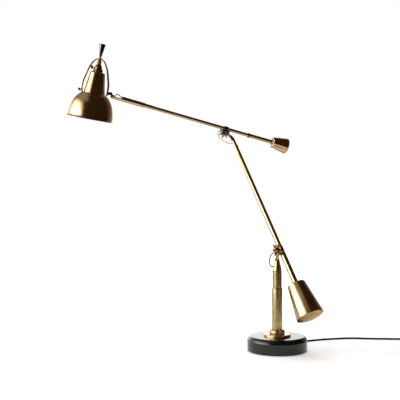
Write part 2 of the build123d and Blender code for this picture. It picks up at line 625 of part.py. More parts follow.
with BuildPart() as bail:
    with BuildLine() as bail_route:
        Line(on_shade(LEG_X, LEG_FOOT), on_shade(LEG_X, LEG_STRAIGHT))
        Spline(on_shade(LEG_X, LEG_STRAIGHT), on_shade(29.6, 107), on_shade(17.0, 142),
               on_shade(4.5, BAIL_TOP), tangents=(shade_axis, shade_out * -1))
        Line(on_shade(4.5, BAIL_TOP), on_shade(-4.5, BAIL_TOP))
        Spline(on_shade(-4.5, BAIL_TOP), on_shade(-17.0, 142), on_shade(-29.6, 107),
               on_shade(-LEG_X, LEG_STRAIGHT), tangents=(shade_out * -1, shade_axis * -1))
        Line(on_shade(-LEG_X, LEG_STRAIGHT), on_shade(-LEG_X, LEG_FOOT))
    with BuildSketch(Plane(origin=bail_route.line @ 0, x_dir=shade_out, z_dir=shade_axis)):
        Rectangle(STRAP_T, STRAP_W)
    sweep()
    rod(shade_plane, 2.1, BAIL_TOP - 4, BAIL_TOP + 4, mode=Mode.SUBTRACT)
    screw_plane = Plane(origin=on_shade(0, BAIL_SCREW_UP), x_dir=shade_axis, z_dir=shade_out)
    rod(screw_plane, 1.55, -40, 40, mode=Mode.SUBTRACT)
save(bail, "bail")

# two angle brackets that stand on the crown inside the bail's feet
EAR_OUT = LEG_X - STRAP_T / 2
with BuildPart() as crown_ears:
    for side_sign in (1, -1):
        with BuildSketch(shade_plane.offset(SHOULDER + 0.05)) as ear_foot:
            with Locations((side_sign * (EAR_OUT - 2.0), 0)):
                Rectangle(4.0, 7.0)
        extrude(ear_foot.sketch, amount=1.2)
        with BuildSketch(shade_plane.offset(SHOULDER + 0.05)) as ear_wall:
            with Locations((side_sign * (EAR_OUT - 1.0), 0)):
                Rectangle(2.0, 7.0)
        extrude(ear_wall.sketch, amount=8.8)
    rod(screw_plane, 1.55, -40, 40, mode=Mode.SUBTRACT)
save(crown_ears, "crown_ears")

# a knurled screw in the far foot, a ball-headed one beside the tilt hinge
BALL_R = 2.4
with BuildPart() as bail_screws:
    rod(screw_plane, 3.2, -LEG_X - 9.6, -LEG_X - STRAP_T / 2 - 0.02)
    chamfer(bail_screws.edges(), length=0.6)
    rod(screw_plane, 1.5, -LEG_X - 4, -LEG_X + 4)
    with Locations(Plane(origin=along(on_shade(LEG_X + 1.9, BAIL_SCREW_UP), (hinge_3, 1.0)))):
        Sphere(BALL_R)
    with BuildSketch(screw_plane.offset(LEG_X + STRAP_T / 2 + 0.02)) as behind_strap:
        Rectangle(12, 12)
    extrude(behind_strap.sketch, amount=-6, mode=Mode.SUBTRACT)
    rod(screw_plane, 1.5, LEG_X - 3, LEG_X + 1.9)
save(bail_screws, "bail_screws")

lug_length = PIVOT_OUT - LEG_X - STRAP_T / 2 - 0.02
lug_plane = Plane(origin=joint_3, x_dir=shade_out, z_dir=hinge_3)
with BuildPart() as pivot_lug:
    with BuildSketch(lug_plane.offset(EYE[0])) as lug_shape:
        Circle(3.8)
        with Locations((-lug_length / 2, 0)):
            Rectangle(lug_length, 7.0)
        Circle(1.5 + RUN, mode=Mode.SUBTRACT)
    extrude(lug_shape.sketch, amount=EYE[1] - EYE[0])
save(pivot_lug, "pivot_lug")

with BuildPart() as tilt_nut:
    rod(hinge_plane_3, 2.9, EYE[0] - 2.6, EYE[0] - AIR, bore=1.5 + RUN)
save(tilt_nut, "tilt_nut")

RING_TOP = 127.5
with BuildPart() as shade_ring:
    rod(shade_plane, 12.5, NECK_TOP + 0.05, RING_TOP, bore=7.2)
    chamfer(shade_ring.edges().filter_by(GeomType.CIRCLE).sort_by(SortBy.RADIUS)[-2:],
            length=0.9)
save(shade_ring, "lampholder_ring")

with BuildPart() as holder_cap:
    turn(shade_side, [(0, RING_TOP + 0.05), (10.6, RING_TOP + 0.05), (10.6, 131.5),
                      (9.2, 132.3), (8.4, 136.0), (6.2, 139.0), (5.4, 140.0), (5.4, 147.5),
                      (4.2, 148.6), (4.2, BAIL_TOP - STRAP_T / 2 - 0.05),
                      (0, BAIL_TOP - STRAP_T / 2 - 0.05)])
    rod(shade_plane, 2.1, 146, BAIL_TOP, mode=Mode.SUBTRACT)
save(holder_cap, "lampholder_cap")

with BuildPart() as holder_body:
    turn(shade_side, [(13.5, 84), (14.6, 84), (14.6, 107), (10.8, 111), (10.8, 119.5),
                      (7.0, 119.5), (7.0, RING_TOP), (0, RING_TOP), (0, 101), (13.5, 101)])
save(holder_body, "lampholder_body")

with BuildPart() as bulb_cap:
    turn(shade_side, [(0, 70.0), (13.4, 70.0), (13.4, 92.0), (5.0, 98.0), (5.0, 100.95),
                      (0, 100.95)])
save(bulb_cap, "bulb_cap")

BULB_R = 22.0
BULB_Z = 42.0
with BuildPart() as bulb:
    with BuildSketch(shade_side):
        with BuildLine():
            Line((0, 69.95), (0, BULB_Z - BULB_R))
            ThreePointArc((0, BULB_Z - BULB_R), (BULB_R, BULB_Z), (18.6, BULB_Z + 11.75))
            ThreePointArc((18.6, BULB_Z + 11.75), (14.7, 61.4), (13.3, 69.95))
            Line((13.3, 69.95), (0, 69.95))
        make_face()
    revolve(axis=Axis(rim, shade_axis))
save(bulb, "bulb_glass")

key_plane = Plane(origin=along(rim, (shade_axis, 129.6)), x_dir=shade_axis,
                  z_dir=shade_out * -1)
with BuildPart() as key:
    rod(key_plane, 1.3, 10.6 + AIR, 14.5)
    with BuildSketch(Plane(origin=along(key_plane.origin, (key_plane.z_dir, 14.0)),
                           x_dir=shade_axis, z_dir=hinge_3).offset(-0.7)) as thumb:
        with Locations((0, 2.8)):
            RectangleRounded(8.5, 5.6, 2.2)
    extrude(amount=1.4)
save(key, "switch_key")

FERRULE_TOP = 158.5
with BuildPart() as ferrule:
    turn(shade_side, [(0, BAIL_TOP + STRAP_T / 2 + 0.05), (3.9, BAIL_TOP + STRAP_T / 2 + 0.05),
                      (3.2, FERRULE_TOP), (0, FERRULE_TOP)])
    rod(shade_plane, 2.0, 147, FERRULE_TOP)
save(ferrule, "handle_ferrule")

HANDLE_TOP = 192.0
with BuildPart() as handle:
    turn(shade_side, [(0, FERRULE_TOP + 0.05), (3.0, FERRULE_TOP + 0.05),
                      (8.4, HANDLE_TOP - 1.2), (7.4, HANDLE_TOP), (0, HANDLE_TOP)])
save(handle, "handle")


# ---- mains cord -------------------------------------------------------------
BUSH_END = 102.0
with BuildPart() as bush:
    turn(lathe_plane(Vector(0, 0, CORD_EXIT_Z), cord_out, UP),
         [(0, 60), (BUSH_SEAT_R - 0.1, 60), (BUSH_SEAT_R - 0.1, BASE_R + 0.3),
          (6.4, BASE_R + 0.3), (6.4, BASE_R + 2.5), (5.2, BASE_R + 4.5), (3.5, BUSH_END),
          (CORD_R + 0.05, BUSH_END), (CORD_R + 0.05, BUSH_END - 4), (0, BUSH_END - 4)])
save(bush, "cord_bush")

cord_start = along((0, 0, CORD_EXIT_Z), (cord_out, BUSH_END - 3.9))
cord_dips = along((0, 0, CORD_EXIT_Z), (cord_out, BUSH_END + 9.5))
FLOOR_Z = CORD_R
COIL_START = (386.0, 156.5)
cord_points = [
    tuple(cord_start), tuple(cord_dips), (65.0, 108.0, 6.0), (79.0, 117.5, FLOOR_Z),
    (104.0, 131.5, FLOOR_Z), (140.0, 149.5, FLOOR_Z), (176.0, 160.0, FLOOR_Z),
    (213.0, 168.8, FLOOR_Z), (240.0, 166.2, FLOOR_Z), (270.0, 160.0, FLOOR_Z),
    (308.0, 158.6, FLOOR_Z), (348.0, 155.4, FLOOR_Z), (COIL_START[0], COIL_START[1], FLOOR_Z),
]


def corner_radii(points):
    """The largest tangent arc that each corner's two runs have room for."""
    radii = []
    for before, corner, after in zip(points, points[1:], points[2:]):
        run_in = Vector(*corner) - Vector(*before)
        run_out = Vector(*after) - Vector(*corner)
        half_turn = math.radians(run_in.get_angle(run_out)) / 2
        radii.append(0.45 * min(run_in.length, run_out.length) / math.tan(half_turn))
    return radii


cord_radii = corner_radii(cord_points)
print("cord corner radii", [round(r, 1) for r in cord_radii])
with BuildPart() as cord:
    with BuildLine() as cord_route:
        FilletPolyline(*cord_points, radius=cord_radii)
    with BuildSketch(Plane(origin=cord_route.line @ 0, z_dir=cord_route.line % 0)):
        Circle(CORD_R)
    sweep()
save(cord, "mains_cord")
section = math.pi * CORD_R ** 2
print("cord length", round(cord_route.wire().length, 1), "volume over section",
      round(cord.part.volume / section, 1))

# the unseen length: eight turns in two layers, spiralling in and out again
COIL_R = 36.0
COIL_PITCH = 5.5
HALF_TURNS_IN = 7
HALF_TURNS_OUT = 8
TAIL = 28.0                # from the last turn to the plug
LAYER = 5.5
cord_end_heading = Vector(*cord_points[-1]) - Vector(*cord_points[-2])
cord_end_heading = cord_end_heading.normalized()
coil_side = cord_end_heading.cross(UP)
with BuildPart() as coil:
    with BuildLine() as coil_route:
        here = Vector(*cord_points[-1])
        heading = cord_end_heading
        Line(here, along(here, (heading, 2 * CORD_R)))
        here = along(here, (heading, 2 * CORD_R))
        radius = COIL_R
        side = coil_side
        for half_turn in range(HALF_TURNS_IN):
            far = along(here, (side, 2 * radius))
            TangentArc(here, far, tangent=heading)
            here, heading, side = far, heading * -1, side * -1
            radius -= COIL_PITCH / 2
        # the climb, as two quarter turns that meet halfway up
        reach = math.hypot(radius, LAYER / 2)
        middle = along(here, (side, radius), (heading, reach), (UP, LAYER / 2))
        far = along(here, (side, 2 * radius), (UP, LAYER))
        TangentArc(here, middle, tangent=heading)
        TangentArc(middle, far, tangent=(side * (radius / reach) + UP * (LAYER / 2 / reach)))
        here, heading, side = far, heading * -1, side * -1
        for half_turn in range(HALF_TURNS_OUT):
            radius += COIL_PITCH / 2
            far = along(here, (side, 2 * radius))
            TangentArc(here, far, tangent=heading)
            here, heading, side = far, heading * -1, side * -1
        tail = along(here, (heading, TAIL))
        Line(here, tail)
    with BuildSketch(Plane(origin=coil_route.line @ 0, z_dir=coil_route.line % 0)):
        Circle(CORD_R)
    sweep()
save(coil, "cord_coil")


def least_gap(line, tube_r, count=900, skip=0.02):
    """The least gap of a tube to itself, measured on points along its line."""
    spots = [line @ (step / count) for step in range(count + 1)]
    apart = int(skip * count) + 2
    least = min((a - b).length for i, a in enumerate(spots) for b in spots[i + apart:])
    return least - 2 * tube_r


print("coil length", round(coil_route.wire().length, 1), "least gap",
      round(least_gap(coil_route.wire(), CORD_R), 2))

PLUG_HALF_T = here.Z
plug_plane = Plane(origin=tail, x_dir=coil_side, z_dir=heading)
with BuildPart() as plug:
    with BuildSketch(plug_plane.offset(14)):
        RectangleRounded(16, 2 * PLUG_HALF_T - 1, 4)
    with BuildSketch(plug_plane.offset(28)):
        RectangleRounded(34, 2 * PLUG_HALF_T, 4)
    with BuildSketch(plug_plane.offset(46)):
        RectangleRounded(33, 2 * PLUG_HALF_T, 4)
    loft()
    with BuildSketch(plug_plane.offset(0.05)):
        Circle(3.4)
    with BuildSketch(plug_plane.offset(14.5)):
        Circle(5.6)
    loft()
save(plug, "plug_body")

with BuildPart() as pins:
    with BuildSketch(plug_plane.offset(46.05)):
        with Locations((9.5, 0), (-9.5, 0)):
            Circle(2.0)
    extrude(amount=19)
save(pins, "plug_pins")

print("rim centre", rim, "tilt hinge", joint_3, hinge_3)
print("hinges", hinge_1, hinge_2, "arm 1", arm_1, down_1, "arm 2", back_2, "shade", shade_axis)
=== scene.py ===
"""Dresses the balance lamp: turned brass shells, knurls, flexes, the cord and every finish."""

from __future__ import annotations

import json
import logging
import math
from dataclasses import dataclass
from enum import Enum
from typing import Iterable, Optional, Protocol, Sequence, Union

import bmesh
import bpy
from mathutils import Matrix, Vector

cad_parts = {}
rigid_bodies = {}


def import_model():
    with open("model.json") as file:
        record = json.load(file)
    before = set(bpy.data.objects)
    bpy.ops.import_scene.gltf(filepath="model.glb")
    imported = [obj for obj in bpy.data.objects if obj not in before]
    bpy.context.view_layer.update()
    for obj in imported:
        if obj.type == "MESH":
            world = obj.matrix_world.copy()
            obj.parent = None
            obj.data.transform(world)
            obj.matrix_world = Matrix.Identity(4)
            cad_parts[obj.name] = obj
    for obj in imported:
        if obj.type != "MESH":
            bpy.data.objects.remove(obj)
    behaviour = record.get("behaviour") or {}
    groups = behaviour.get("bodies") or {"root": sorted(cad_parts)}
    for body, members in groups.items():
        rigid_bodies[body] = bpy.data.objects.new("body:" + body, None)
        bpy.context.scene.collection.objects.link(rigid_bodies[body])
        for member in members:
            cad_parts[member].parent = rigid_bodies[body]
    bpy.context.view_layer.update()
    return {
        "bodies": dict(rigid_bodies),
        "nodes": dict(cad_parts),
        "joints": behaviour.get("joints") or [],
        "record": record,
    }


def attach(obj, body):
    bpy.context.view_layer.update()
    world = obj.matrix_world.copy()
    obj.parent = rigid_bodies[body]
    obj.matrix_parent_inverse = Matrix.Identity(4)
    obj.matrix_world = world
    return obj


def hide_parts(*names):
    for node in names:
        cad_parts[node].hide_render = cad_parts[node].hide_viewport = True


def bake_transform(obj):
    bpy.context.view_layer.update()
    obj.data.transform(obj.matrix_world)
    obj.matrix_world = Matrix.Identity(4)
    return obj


Colour = tuple[float, float, float]
Outline = list[tuple[float, float]]
Paint = bpy.types.Material
Piece = bpy.types.Object
Shape = bmesh.types.BMesh
Socket = bpy.types.NodeSocket

LOG = logging.getLogger("balance_lamp")
MM = 0.001
TINY = 1e-6
UP = Vector((0.0, 0.0, 1.0))


class Grain(Enum):
    """Which way the fine tool marks of a finish run, as the stretch of their texture."""

    NONE = None
    RINGS = (26.0, 26.0, 5200.0)
    ALONG = (4200.0, 4200.0, 22.0)


@dataclass(frozen=True)
class Turning:
    """A line that a round piece is turned about.

    Attributes:
        origin: a point on the line, in metres.
        axis: the line's direction.
        radial: a direction square to the line, where angles start.
    """

    origin: Vector
    axis: Vector
    radial: Vector

    def at(self, radius: float, height: float, angle: float = 0.0) -> Vector:
        """The point at a radius and a height in millimetres, and an angle in radians."""
        side = self.axis.cross(self.radial)
        spoke = self.radial * math.cos(angle) + side * math.sin(angle)
        return self.origin + self.axis * (height * MM) + spoke * (radius * MM)

    def matrix(self) -> Matrix:
        """The transform that stands an upright shape on this line."""
        side = self.axis.cross(self.radial)
        turned = Matrix((self.radial, side, self.axis)).transposed()
        return Matrix.Translation(self.origin) @ turned.to_4x4()


@dataclass(frozen=True)
class LampAxes:
    """The lines and centres of the lamp's joints, in its everyday pose.

    The angles are in radians and the lengths in millimetres.

    Attributes:
        drop: the upper arm's slope.
        heading: the upper arm's turn.
        roll: the upper clamp's turn about the arm.
        twist: the head sleeve's turn about the arm.
        arm_beside: from the column's middle to the lower arm's.
        head_reach: from the upper joint to the tilt screw, along the arm.
        head_lift: the tilt screw's height over the arm's middle.
        rim_below: the shade's rim below the tilt screw.
        rim_beside: the shade's middle beside the tilt screw.
    """

    swivel: float = math.radians(-51.6)
    lower_tilt: float = math.radians(32.9)
    drop: float = math.radians(12.87)
    heading: float = math.radians(22.29)
    roll: float = math.radians(-30.0)
    twist: float = math.radians(9.4)
    head_tilt: float = math.radians(-4.84)
    clamp_height: float = 256.0
    arm_beside: float = 14.0
    upper_joint: tuple[float, float, float] = (-125.0, 152.0, 577.5)
    head_reach: float = 335.8
    head_lift: float = 4.4
    rim_below: float = 72.6
    rim_beside: float = 42.5

    def lower_hinge(self) -> Turning:
        """The bolt of the lower clamp; its weight hangs along the radial's side."""
        hinge = Vector((math.sin(self.swivel), -math.cos(self.swivel), 0.0))
        level = Vector((math.cos(self.swivel), math.sin(self.swivel), 0.0))
        return Turning(UP * (self.clamp_height * MM), hinge, level)

    def lower_arm(self) -> Turning:
        """The lower arm's centre line, down to its weight."""
        clamp = self.lower_hinge()
        down = clamp.radial * math.sin(self.lower_tilt) - UP * math.cos(self.lower_tilt)
        return Turning(clamp.origin - clamp.axis * (self.arm_beside * MM), down, clamp.axis)

    def upper_arm(self) -> Turning:
        """The upper arm's centre line, back to its weight, from the upper joint."""
        back = Vector((math.cos(self.drop) * math.cos(self.heading),
                       math.cos(self.drop) * math.sin(self.heading), -math.sin(self.drop)))
        level = Vector((math.sin(self.heading), -math.cos(self.heading), 0.0))
        return Turning(Vector(self.upper_joint) * MM, back, level)

    def upper_hinge(self) -> Turning:
        """The bolt of the upper clamp."""
        arm = self.upper_arm()
        under = arm.axis.cross(arm.radial)
        hinge = under * math.cos(self.roll) + arm.radial * math.sin(self.roll)
        return Turning(arm.origin, hinge, arm.axis)

    def tilt_hinge(self) -> Turning:
        """The screw that the head tilts on; the radial is the upper arm's direction."""
        arm = self.upper_arm()
        under = arm.axis.cross(arm.radial)
        lift = under * -math.cos(self.twist) + arm.radial * math.sin(self.twist)
        centre = arm.origin - arm.axis * (self.head_reach * MM) + lift * (self.head_lift * MM)
        return Turning(centre, arm.axis.cross(lift), arm.axis)

    def shade(self) -> Turning:
        """The shade's axis, from the middle of its rim; the radial points at the arm."""
        hinge = self.tilt_hinge()
        back = hinge.radial
        lift = hinge.axis.cross(back)
        axis = lift * math.cos(self.head_tilt) + back * math.sin(self.head_tilt)
        out = back * math.cos(self.head_tilt) - lift * math.sin(self.head_tilt)
        rim = hinge.origin - axis * (self.rim_below * MM) - out * (self.rim_beside * MM)
        return Turning(rim, axis, out)


COLUMN = Turning(Vector((0, 0, 0)), UP, Vector((1, 0, 0)))
SPECKS_PER_CLOUD = 16
GRAINS_PER_CLOUD = 30
SPECK_SHADE = 0.35  # of the aged colour


# ---------------------------------------------------------------- finishes --
class NodeBench:
    """Adds and joins the shader nodes of one material or world."""

    def __init__(self, owner: Union[Paint, bpy.types.World], output: str = "Material") -> None:
        """Leaves nothing in the owner's tree but a new output.

        Args:
            owner: the material or world.
            output: which kind of output it has, Material or World.
        """
        owner.use_nodes = True
        self.owner = owner
        self.tree = owner.node_tree
        self.tree.nodes.clear()
        self.output = self.node(f"Output{output}").inputs["Surface"]

    def node(self, kind: str, given: Optional[dict[Union[int, str], object]] = None,
             **settings: object) -> bpy.types.Node:
        """Adds a node, sets its properties and fills its inputs.

        Args:
            kind: the shader node's type.
            given: for an input's name or place, the socket that it is joined to or its value.
            settings: the node's own properties.

        Returns:
            The new node.
        """
        made = self.tree.nodes.new(f"ShaderNode{kind}")
        for key, value in settings.items():
            setattr(made, key, value)
        for key, value in (given or {}).items():
            if isinstance(value, Socket):
                self.join(value, made.inputs[key])
            else:
                made.inputs[key].default_value = value
        return made

    def join(self, source: Socket, target: Socket) -> None:
        """Links an output to an input."""
        self.tree.links.new(source, target)

    def object_place(self) -> Socket:
        """The point in the piece's own coordinates."""
        return self.node("TexCoord").outputs["Object"]

    def noise(self, vector: Socket, scale: float, detail: float = 4.0, rough: float = 0.6
              ) -> Socket:
        """A noise texture's value on a vector."""
        return self.node("TexNoise", {"Vector": vector, "Scale": scale, "Detail": detail,
                                      "Roughness": rough}).outputs["Fac"]

    def spread(self, value: Socket, low: float, high: float, to_low: float = 0.0,
               to_high: float = 1.0, ramp: str = "LINEAR") -> Socket:
        """Maps a value's range onto another, clamped."""
        return self.node("MapRange", {"Value": value, "From Min": low, "From Max": high,
                                      "To Min": to_low, "To Max": to_high},
                         interpolation_type=ramp).outputs["Result"]

    def maths(self, operation: str, first: Socket, *others: Socket) -> Socket:
        """Works several values into one, from the first on."""
        for other in others:
            first = self.node("Math", {0: first, 1: other}, operation=operation).outputs[0]
        return first

    def blend(self, factor: Socket, first: object, second: object) -> Socket:
        """Mixes two colours, each a socket or a plain colour."""
        first, second = (value if isinstance(value, Socket) else (*value, 1.0)
                         for value in (first, second))
        return self.node("Mix", {0: factor, 6: first, 7: second}, data_type="RGBA").outputs[2]

    def placed(self, turning: Turning) -> Socket:
        """Object coordinates turned so that Z runs along a piece's own line."""
        inverse = turning.matrix().inverted()
        return self.node("Mapping", {"Vector": self.object_place(),
                                     "Location": inverse.to_translation(),
                                     "Rotation": inverse.to_euler()}).outputs["Vector"]

    def bumped(self, height: Socket, strength: float, distance: float) -> Socket:
        """A normal raised by a height value."""
        return self.node("Bump", {"Height": height, "Strength": strength,
                                  "Distance": distance}).outputs["Normal"]

    def surface(self, given: dict[Union[int, str], object]) -> Paint:
        """Closes the material with its main shader.

        Args:
            given: the shader's inputs, as for a node.

        Returns:
            The finished material.
        """
        self.join(self.node("BsdfPrincipled", given).outputs["BSDF"], self.output)
        return self.owner


@dataclass(frozen=True)
class MetalFinish:
    """Aged or polished metal with clouded patina and fine tool marks.

    Attributes:
        name: the material's name.
        bright: colour where the metal is rubbed clean.
        aged: colour where it has darkened.
        turning: the line that the tool marks go round or along.
        grain: which way the tool marks run.
        rough: roughness at its smoothest and its dullest.
        mottle: how many patina clouds fit in a metre.
        marks: strength of the tool marks.
        stain: how strongly the dark specks show.
    """

    name: str
    bright: Colour
    aged: Colour
    turning: Turning = COLUMN
    grain: Grain = Grain.RINGS
    rough: tuple[float, float] = (0.16, 0.3)
    mottle: float = 38.0
    marks: float = 0.08
    stain: float = 0.5

    def build(self) -> Paint:
        """Makes the material."""
        bench = NodeBench(bpy.data.materials.new(self.name))
        placed = bench.placed(self.turning)
        clouds = bench.noise(placed, self.mottle, 7.0, 0.62)
        specks = bench.noise(placed, self.mottle * SPECKS_PER_CLOUD, 3.0, 0.5)
        tint = bench.blend(bench.spread(clouds, 0.38, 0.66), self.bright, self.aged)
        dark = tuple(channel * SPECK_SHADE for channel in self.aged)
        tint = bench.blend(bench.spread(specks, 0.6, 0.74, 0.0, self.stain), tint, dark)
        if self.grain is Grain.NONE:
            fine = bench.noise(placed, self.mottle * GRAINS_PER_CLOUD, 2.0, 0.5)
        else:
            drawn = bench.node("Mapping", {"Vector": placed, "Scale": self.grain.value})
            fine = bench.noise(drawn.outputs["Vector"], 1.0, 3.0, 0.55)
        worn = bench.maths("ADD", bench.spread(clouds, 0.3, 0.7, *self.rough),
                           bench.spread(fine, 0.3, 0.7, 0.0, self.marks))
        return bench.surface({"Metallic": 1.0, "Base Color": tint, "Roughness": worn,
                              "Normal": bench.bumped(fine, 0.25, 0.00002)})


@dataclass(frozen=True)
class LacquerFinish:
    """Deep glossy lacquer over a dark body, with a faint ripple.

    Attributes:
        name: the material's name.
        colour: its main colour.
        cloud: the colour of its paler clouds.
        rough: roughness at its smoothest; dust dulls it from there.
        ior: how strongly it mirrors.
        ripple: strength of the ripple.
    """

    name: str
    colour: Colour
    cloud: Colour
    rough: float = 0.04
    ior: float = 1.45
    ripple: float = 0.01

    def build(self) -> Paint:
        """Makes the material."""
        bench = NodeBench(bpy.data.materials.new(self.name))
        placed = bench.placed(COLUMN)
        clouds = bench.noise(placed, 24.0, 6.0, 0.6)
        dust = bench.noise(placed, 900.0, 3.0, 0.5)
        return bench.surface({
            "Metallic": 0.0, "IOR": self.ior,
            "Base Color": bench.blend(bench.spread(clouds, 0.35, 0.7), self.colour, self.cloud),
            "Roughness": bench.spread(dust, 0.35, 0.75, self.rough, self.rough + 0.1),
            "Normal": bench.bumped(clouds, self.ripple, 0.0004)})


@dataclass(frozen=True)
class SoftFinish:
    """A dull surface with a fine texture, such as felt, braid, rubber or fired clay.

    Attributes:
        name: the material's name.
        colour: its main colour.
        deep: its colour in the texture's hollows.
        texture_scale: how fine the texture is.
        rough: its middle roughness.
        relief: strength of the texture's bump.
        depth: depth of that bump, in metres.
        sheen: how much its fibres shine.
        woven: whether the texture is a weave of cells.
        ior: how strongly it mirrors.
    """

    name: str
    colour: Colour
    deep: Colour
    texture_scale: float = 1500.0
    rough: float = 0.8
    relief: float = 0.5
    depth: float = 0.0001
    sheen: float = 0.0
    woven: bool = False
    ior: float = 1.45

    def build(self) -> Paint:
        """Makes the material."""
        bench = NodeBench(bpy.data.materials.new(self.name))
        place = bench.object_place()
        if self.woven:
            cells = bench.node("TexVoronoi", {"Scale": self.texture_scale, "Vector": place},
                               feature="F1")
            fine = bench.spread(cells.outputs["Distance"], 0.0, 0.7, 1.0, 0.0)
        else:
            fine = bench.noise(place, self.texture_scale)
        clouds = bench.noise(place, 55.0)
        # Painted shade: the texture's low spots, which the bump sinks, take the deep colour; the
        # clouds below darken towards it at random.
        tint = bench.blend(bench.spread(fine, 0.3, 0.75), self.deep, self.colour)
        tint = bench.blend(bench.spread(clouds, 0.45, 0.7, 0.0, 0.4), tint, self.deep)
        return bench.surface({
            "Metallic": 0.0, "IOR": self.ior, "Sheen Weight": self.sheen, "Base Color": tint,
            "Roughness": bench.spread(fine, 0.2, 0.8, self.rough + 0.08, self.rough - 0.08),
            "Normal": bench.bumped(fine, self.relief, self.depth)})


def opal_glass() -> Paint:
    """The bulb's milky glass."""
    bench = NodeBench(bpy.data.materials.new("opal_glass"))
    clouds = bench.noise(bench.object_place(), 70.0, 3.0, 0.5)
    tint = bench.blend(clouds, (0.86, 0.84, 0.78), (0.93, 0.92, 0.88))
    return bench.surface({"Metallic": 0.0, "Roughness": 0.08, "IOR": 1.5, "Coat Weight": 0.6,
                          "Base Color": tint})


class Finishes:
    """Every finish on the lamp, built once."""

    def __init__(self, axes: LampAxes) -> None:
        """Builds the materials on the lines of the lamp's own pieces."""
        lower, upper, shade = axes.lower_arm(), axes.upper_arm(), axes.shade()
        brown, dim = (0.56, 0.40, 0.225), (0.40, 0.265, 0.13)
        tan, olive = (0.46, 0.35, 0.17), (0.30, 0.225, 0.085)
        drawn = (Grain.ALONG, (0.13, 0.22), 30.0, 0.03, 0.15)
        spun = (Grain.RINGS, (0.13, 0.2))
        self.base_lacquer = LacquerFinish("dark_lacquer", (0.006, 0.009, 0.007),
                                          (0.012, 0.014, 0.010)).build()
        self.handle_lacquer = LacquerFinish("handle_lacquer", (0.006, 0.006, 0.005),
                                            (0.012, 0.011, 0.008), 0.05, 1.8).build()
        self.column_brass = MetalFinish("column_brass", tan, olive, COLUMN, Grain.ALONG,
                                        (0.22, 0.32), 60.0, 0.06, 0.3).build()
        self.foot_brass = MetalFinish("foot_brass", brown, dim).build()
        self.lower_brass = MetalFinish("lower_arm_brass", brown, dim, lower, *drawn).build()
        self.upper_brass = MetalFinish("upper_arm_brass", tan, dim, upper, *drawn).build()
        self.lower_weight_brass = MetalFinish("lower_weight_brass", brown, dim, lower, *spun,
                                              30.0, 0.04, 0.25).build()
        self.upper_weight_brass = MetalFinish("upper_weight_brass", brown, dim, upper, *spun,
                                              30.0, 0.04, 0.25).build()
        self.shade_brass = MetalFinish("shade_brass", brown, dim, shade, *spun, 22.0, 0.04,
                                       0.25).build()
        self.cap_brass = MetalFinish("weight_cap_brass", (0.52, 0.34, 0.16), (0.3, 0.17, 0.06),
                                     lower, Grain.NONE, (0.3, 0.42), 120.0, 0.05, 1.0).build()
        self.gilt = MetalFinish("bright_brass", (0.58, 0.36, 0.13), (0.36, 0.2, 0.06), upper,
                                Grain.NONE, (0.16, 0.26), 120.0, 0.03, 0.3).build()
        self.dark_brass = MetalFinish("dark_brass", (0.3, 0.19, 0.08), (0.16, 0.09, 0.035), shade,
                                      Grain.NONE, (0.16, 0.28), 110.0, 0.04, 0.4).build()
        self.iron = MetalFinish("cast_iron", (0.16, 0.16, 0.16), (0.08, 0.075, 0.07), COLUMN,
                                Grain.NONE, (0.5, 0.7), 90.0, 0.1, 0.5).build()
        self.lead = MetalFinish("poured_lead", (0.32, 0.33, 0.35), (0.2, 0.2, 0.21), lower,
                                Grain.NONE, (0.45, 0.6), 60.0, 0.1, 0.4).build()
        self.steel = MetalFinish("plain_steel", (0.48, 0.47, 0.45), (0.3, 0.28, 0.26), COLUMN,
                                 Grain.NONE, (0.25, 0.4), 100.0, 0.05, 0.5).build()
        self.dark_steel = MetalFinish("dark_steel", (0.12, 0.1, 0.08), (0.05, 0.04, 0.035),
                                      shade, Grain.NONE, (0.2, 0.34), 120.0, 0.05, 0.4).build()
        self.nickel = MetalFinish("pale_nickel", (0.74, 0.71, 0.66), (0.55, 0.51, 0.45), shade,
                                  Grain.NONE, (0.12, 0.2), 120.0, 0.04, 0.3).build()
        # The second colour of each soft finish below is painted shade in its texture's hollows, and
        # the tone of its darker clouds.
        self.felt = SoftFinish("base_felt", (0.05, 0.1, 0.065), (0.02, 0.045, 0.03), 2600.0, 0.92,
                               0.8, 0.0003, 0.4).build()
        self.braid = SoftFinish("cord_braid", (0.034, 0.022, 0.018), (0.01, 0.007, 0.006),
                                1100.0, 0.72, 0.8, 0.0003, 0.0, True, 1.2).build()
        self.rubber = SoftFinish("black_rubber", (0.03, 0.028, 0.026), (0.014, 0.013, 0.012),
                                 1500.0, 0.45, 0.15).build()
        # Painted shade: a darkened copy of the one flex, for its loops at the column clamp and at
        # the head.
        self.dark_flex = SoftFinish("dark_flex", (0.04, 0.044, 0.038), (0.02, 0.022, 0.02), 1200.0,
                                    0.4, 0.1).build()
        # Painted highlight: a near-white copy of the same flex, for its loop at the upper clamp.
        self.pale_flex = SoftFinish("pale_flex", (0.93, 0.91, 0.85), (0.84, 0.81, 0.74), 1200.0,
                                    0.4, 0.1).build()
        self.clay = SoftFinish("lampholder_clay", (0.8, 0.77, 0.7), (0.66, 0.62, 0.54), 700.0,
                               0.35, 0.1).build()
        self.opal = opal_glass()


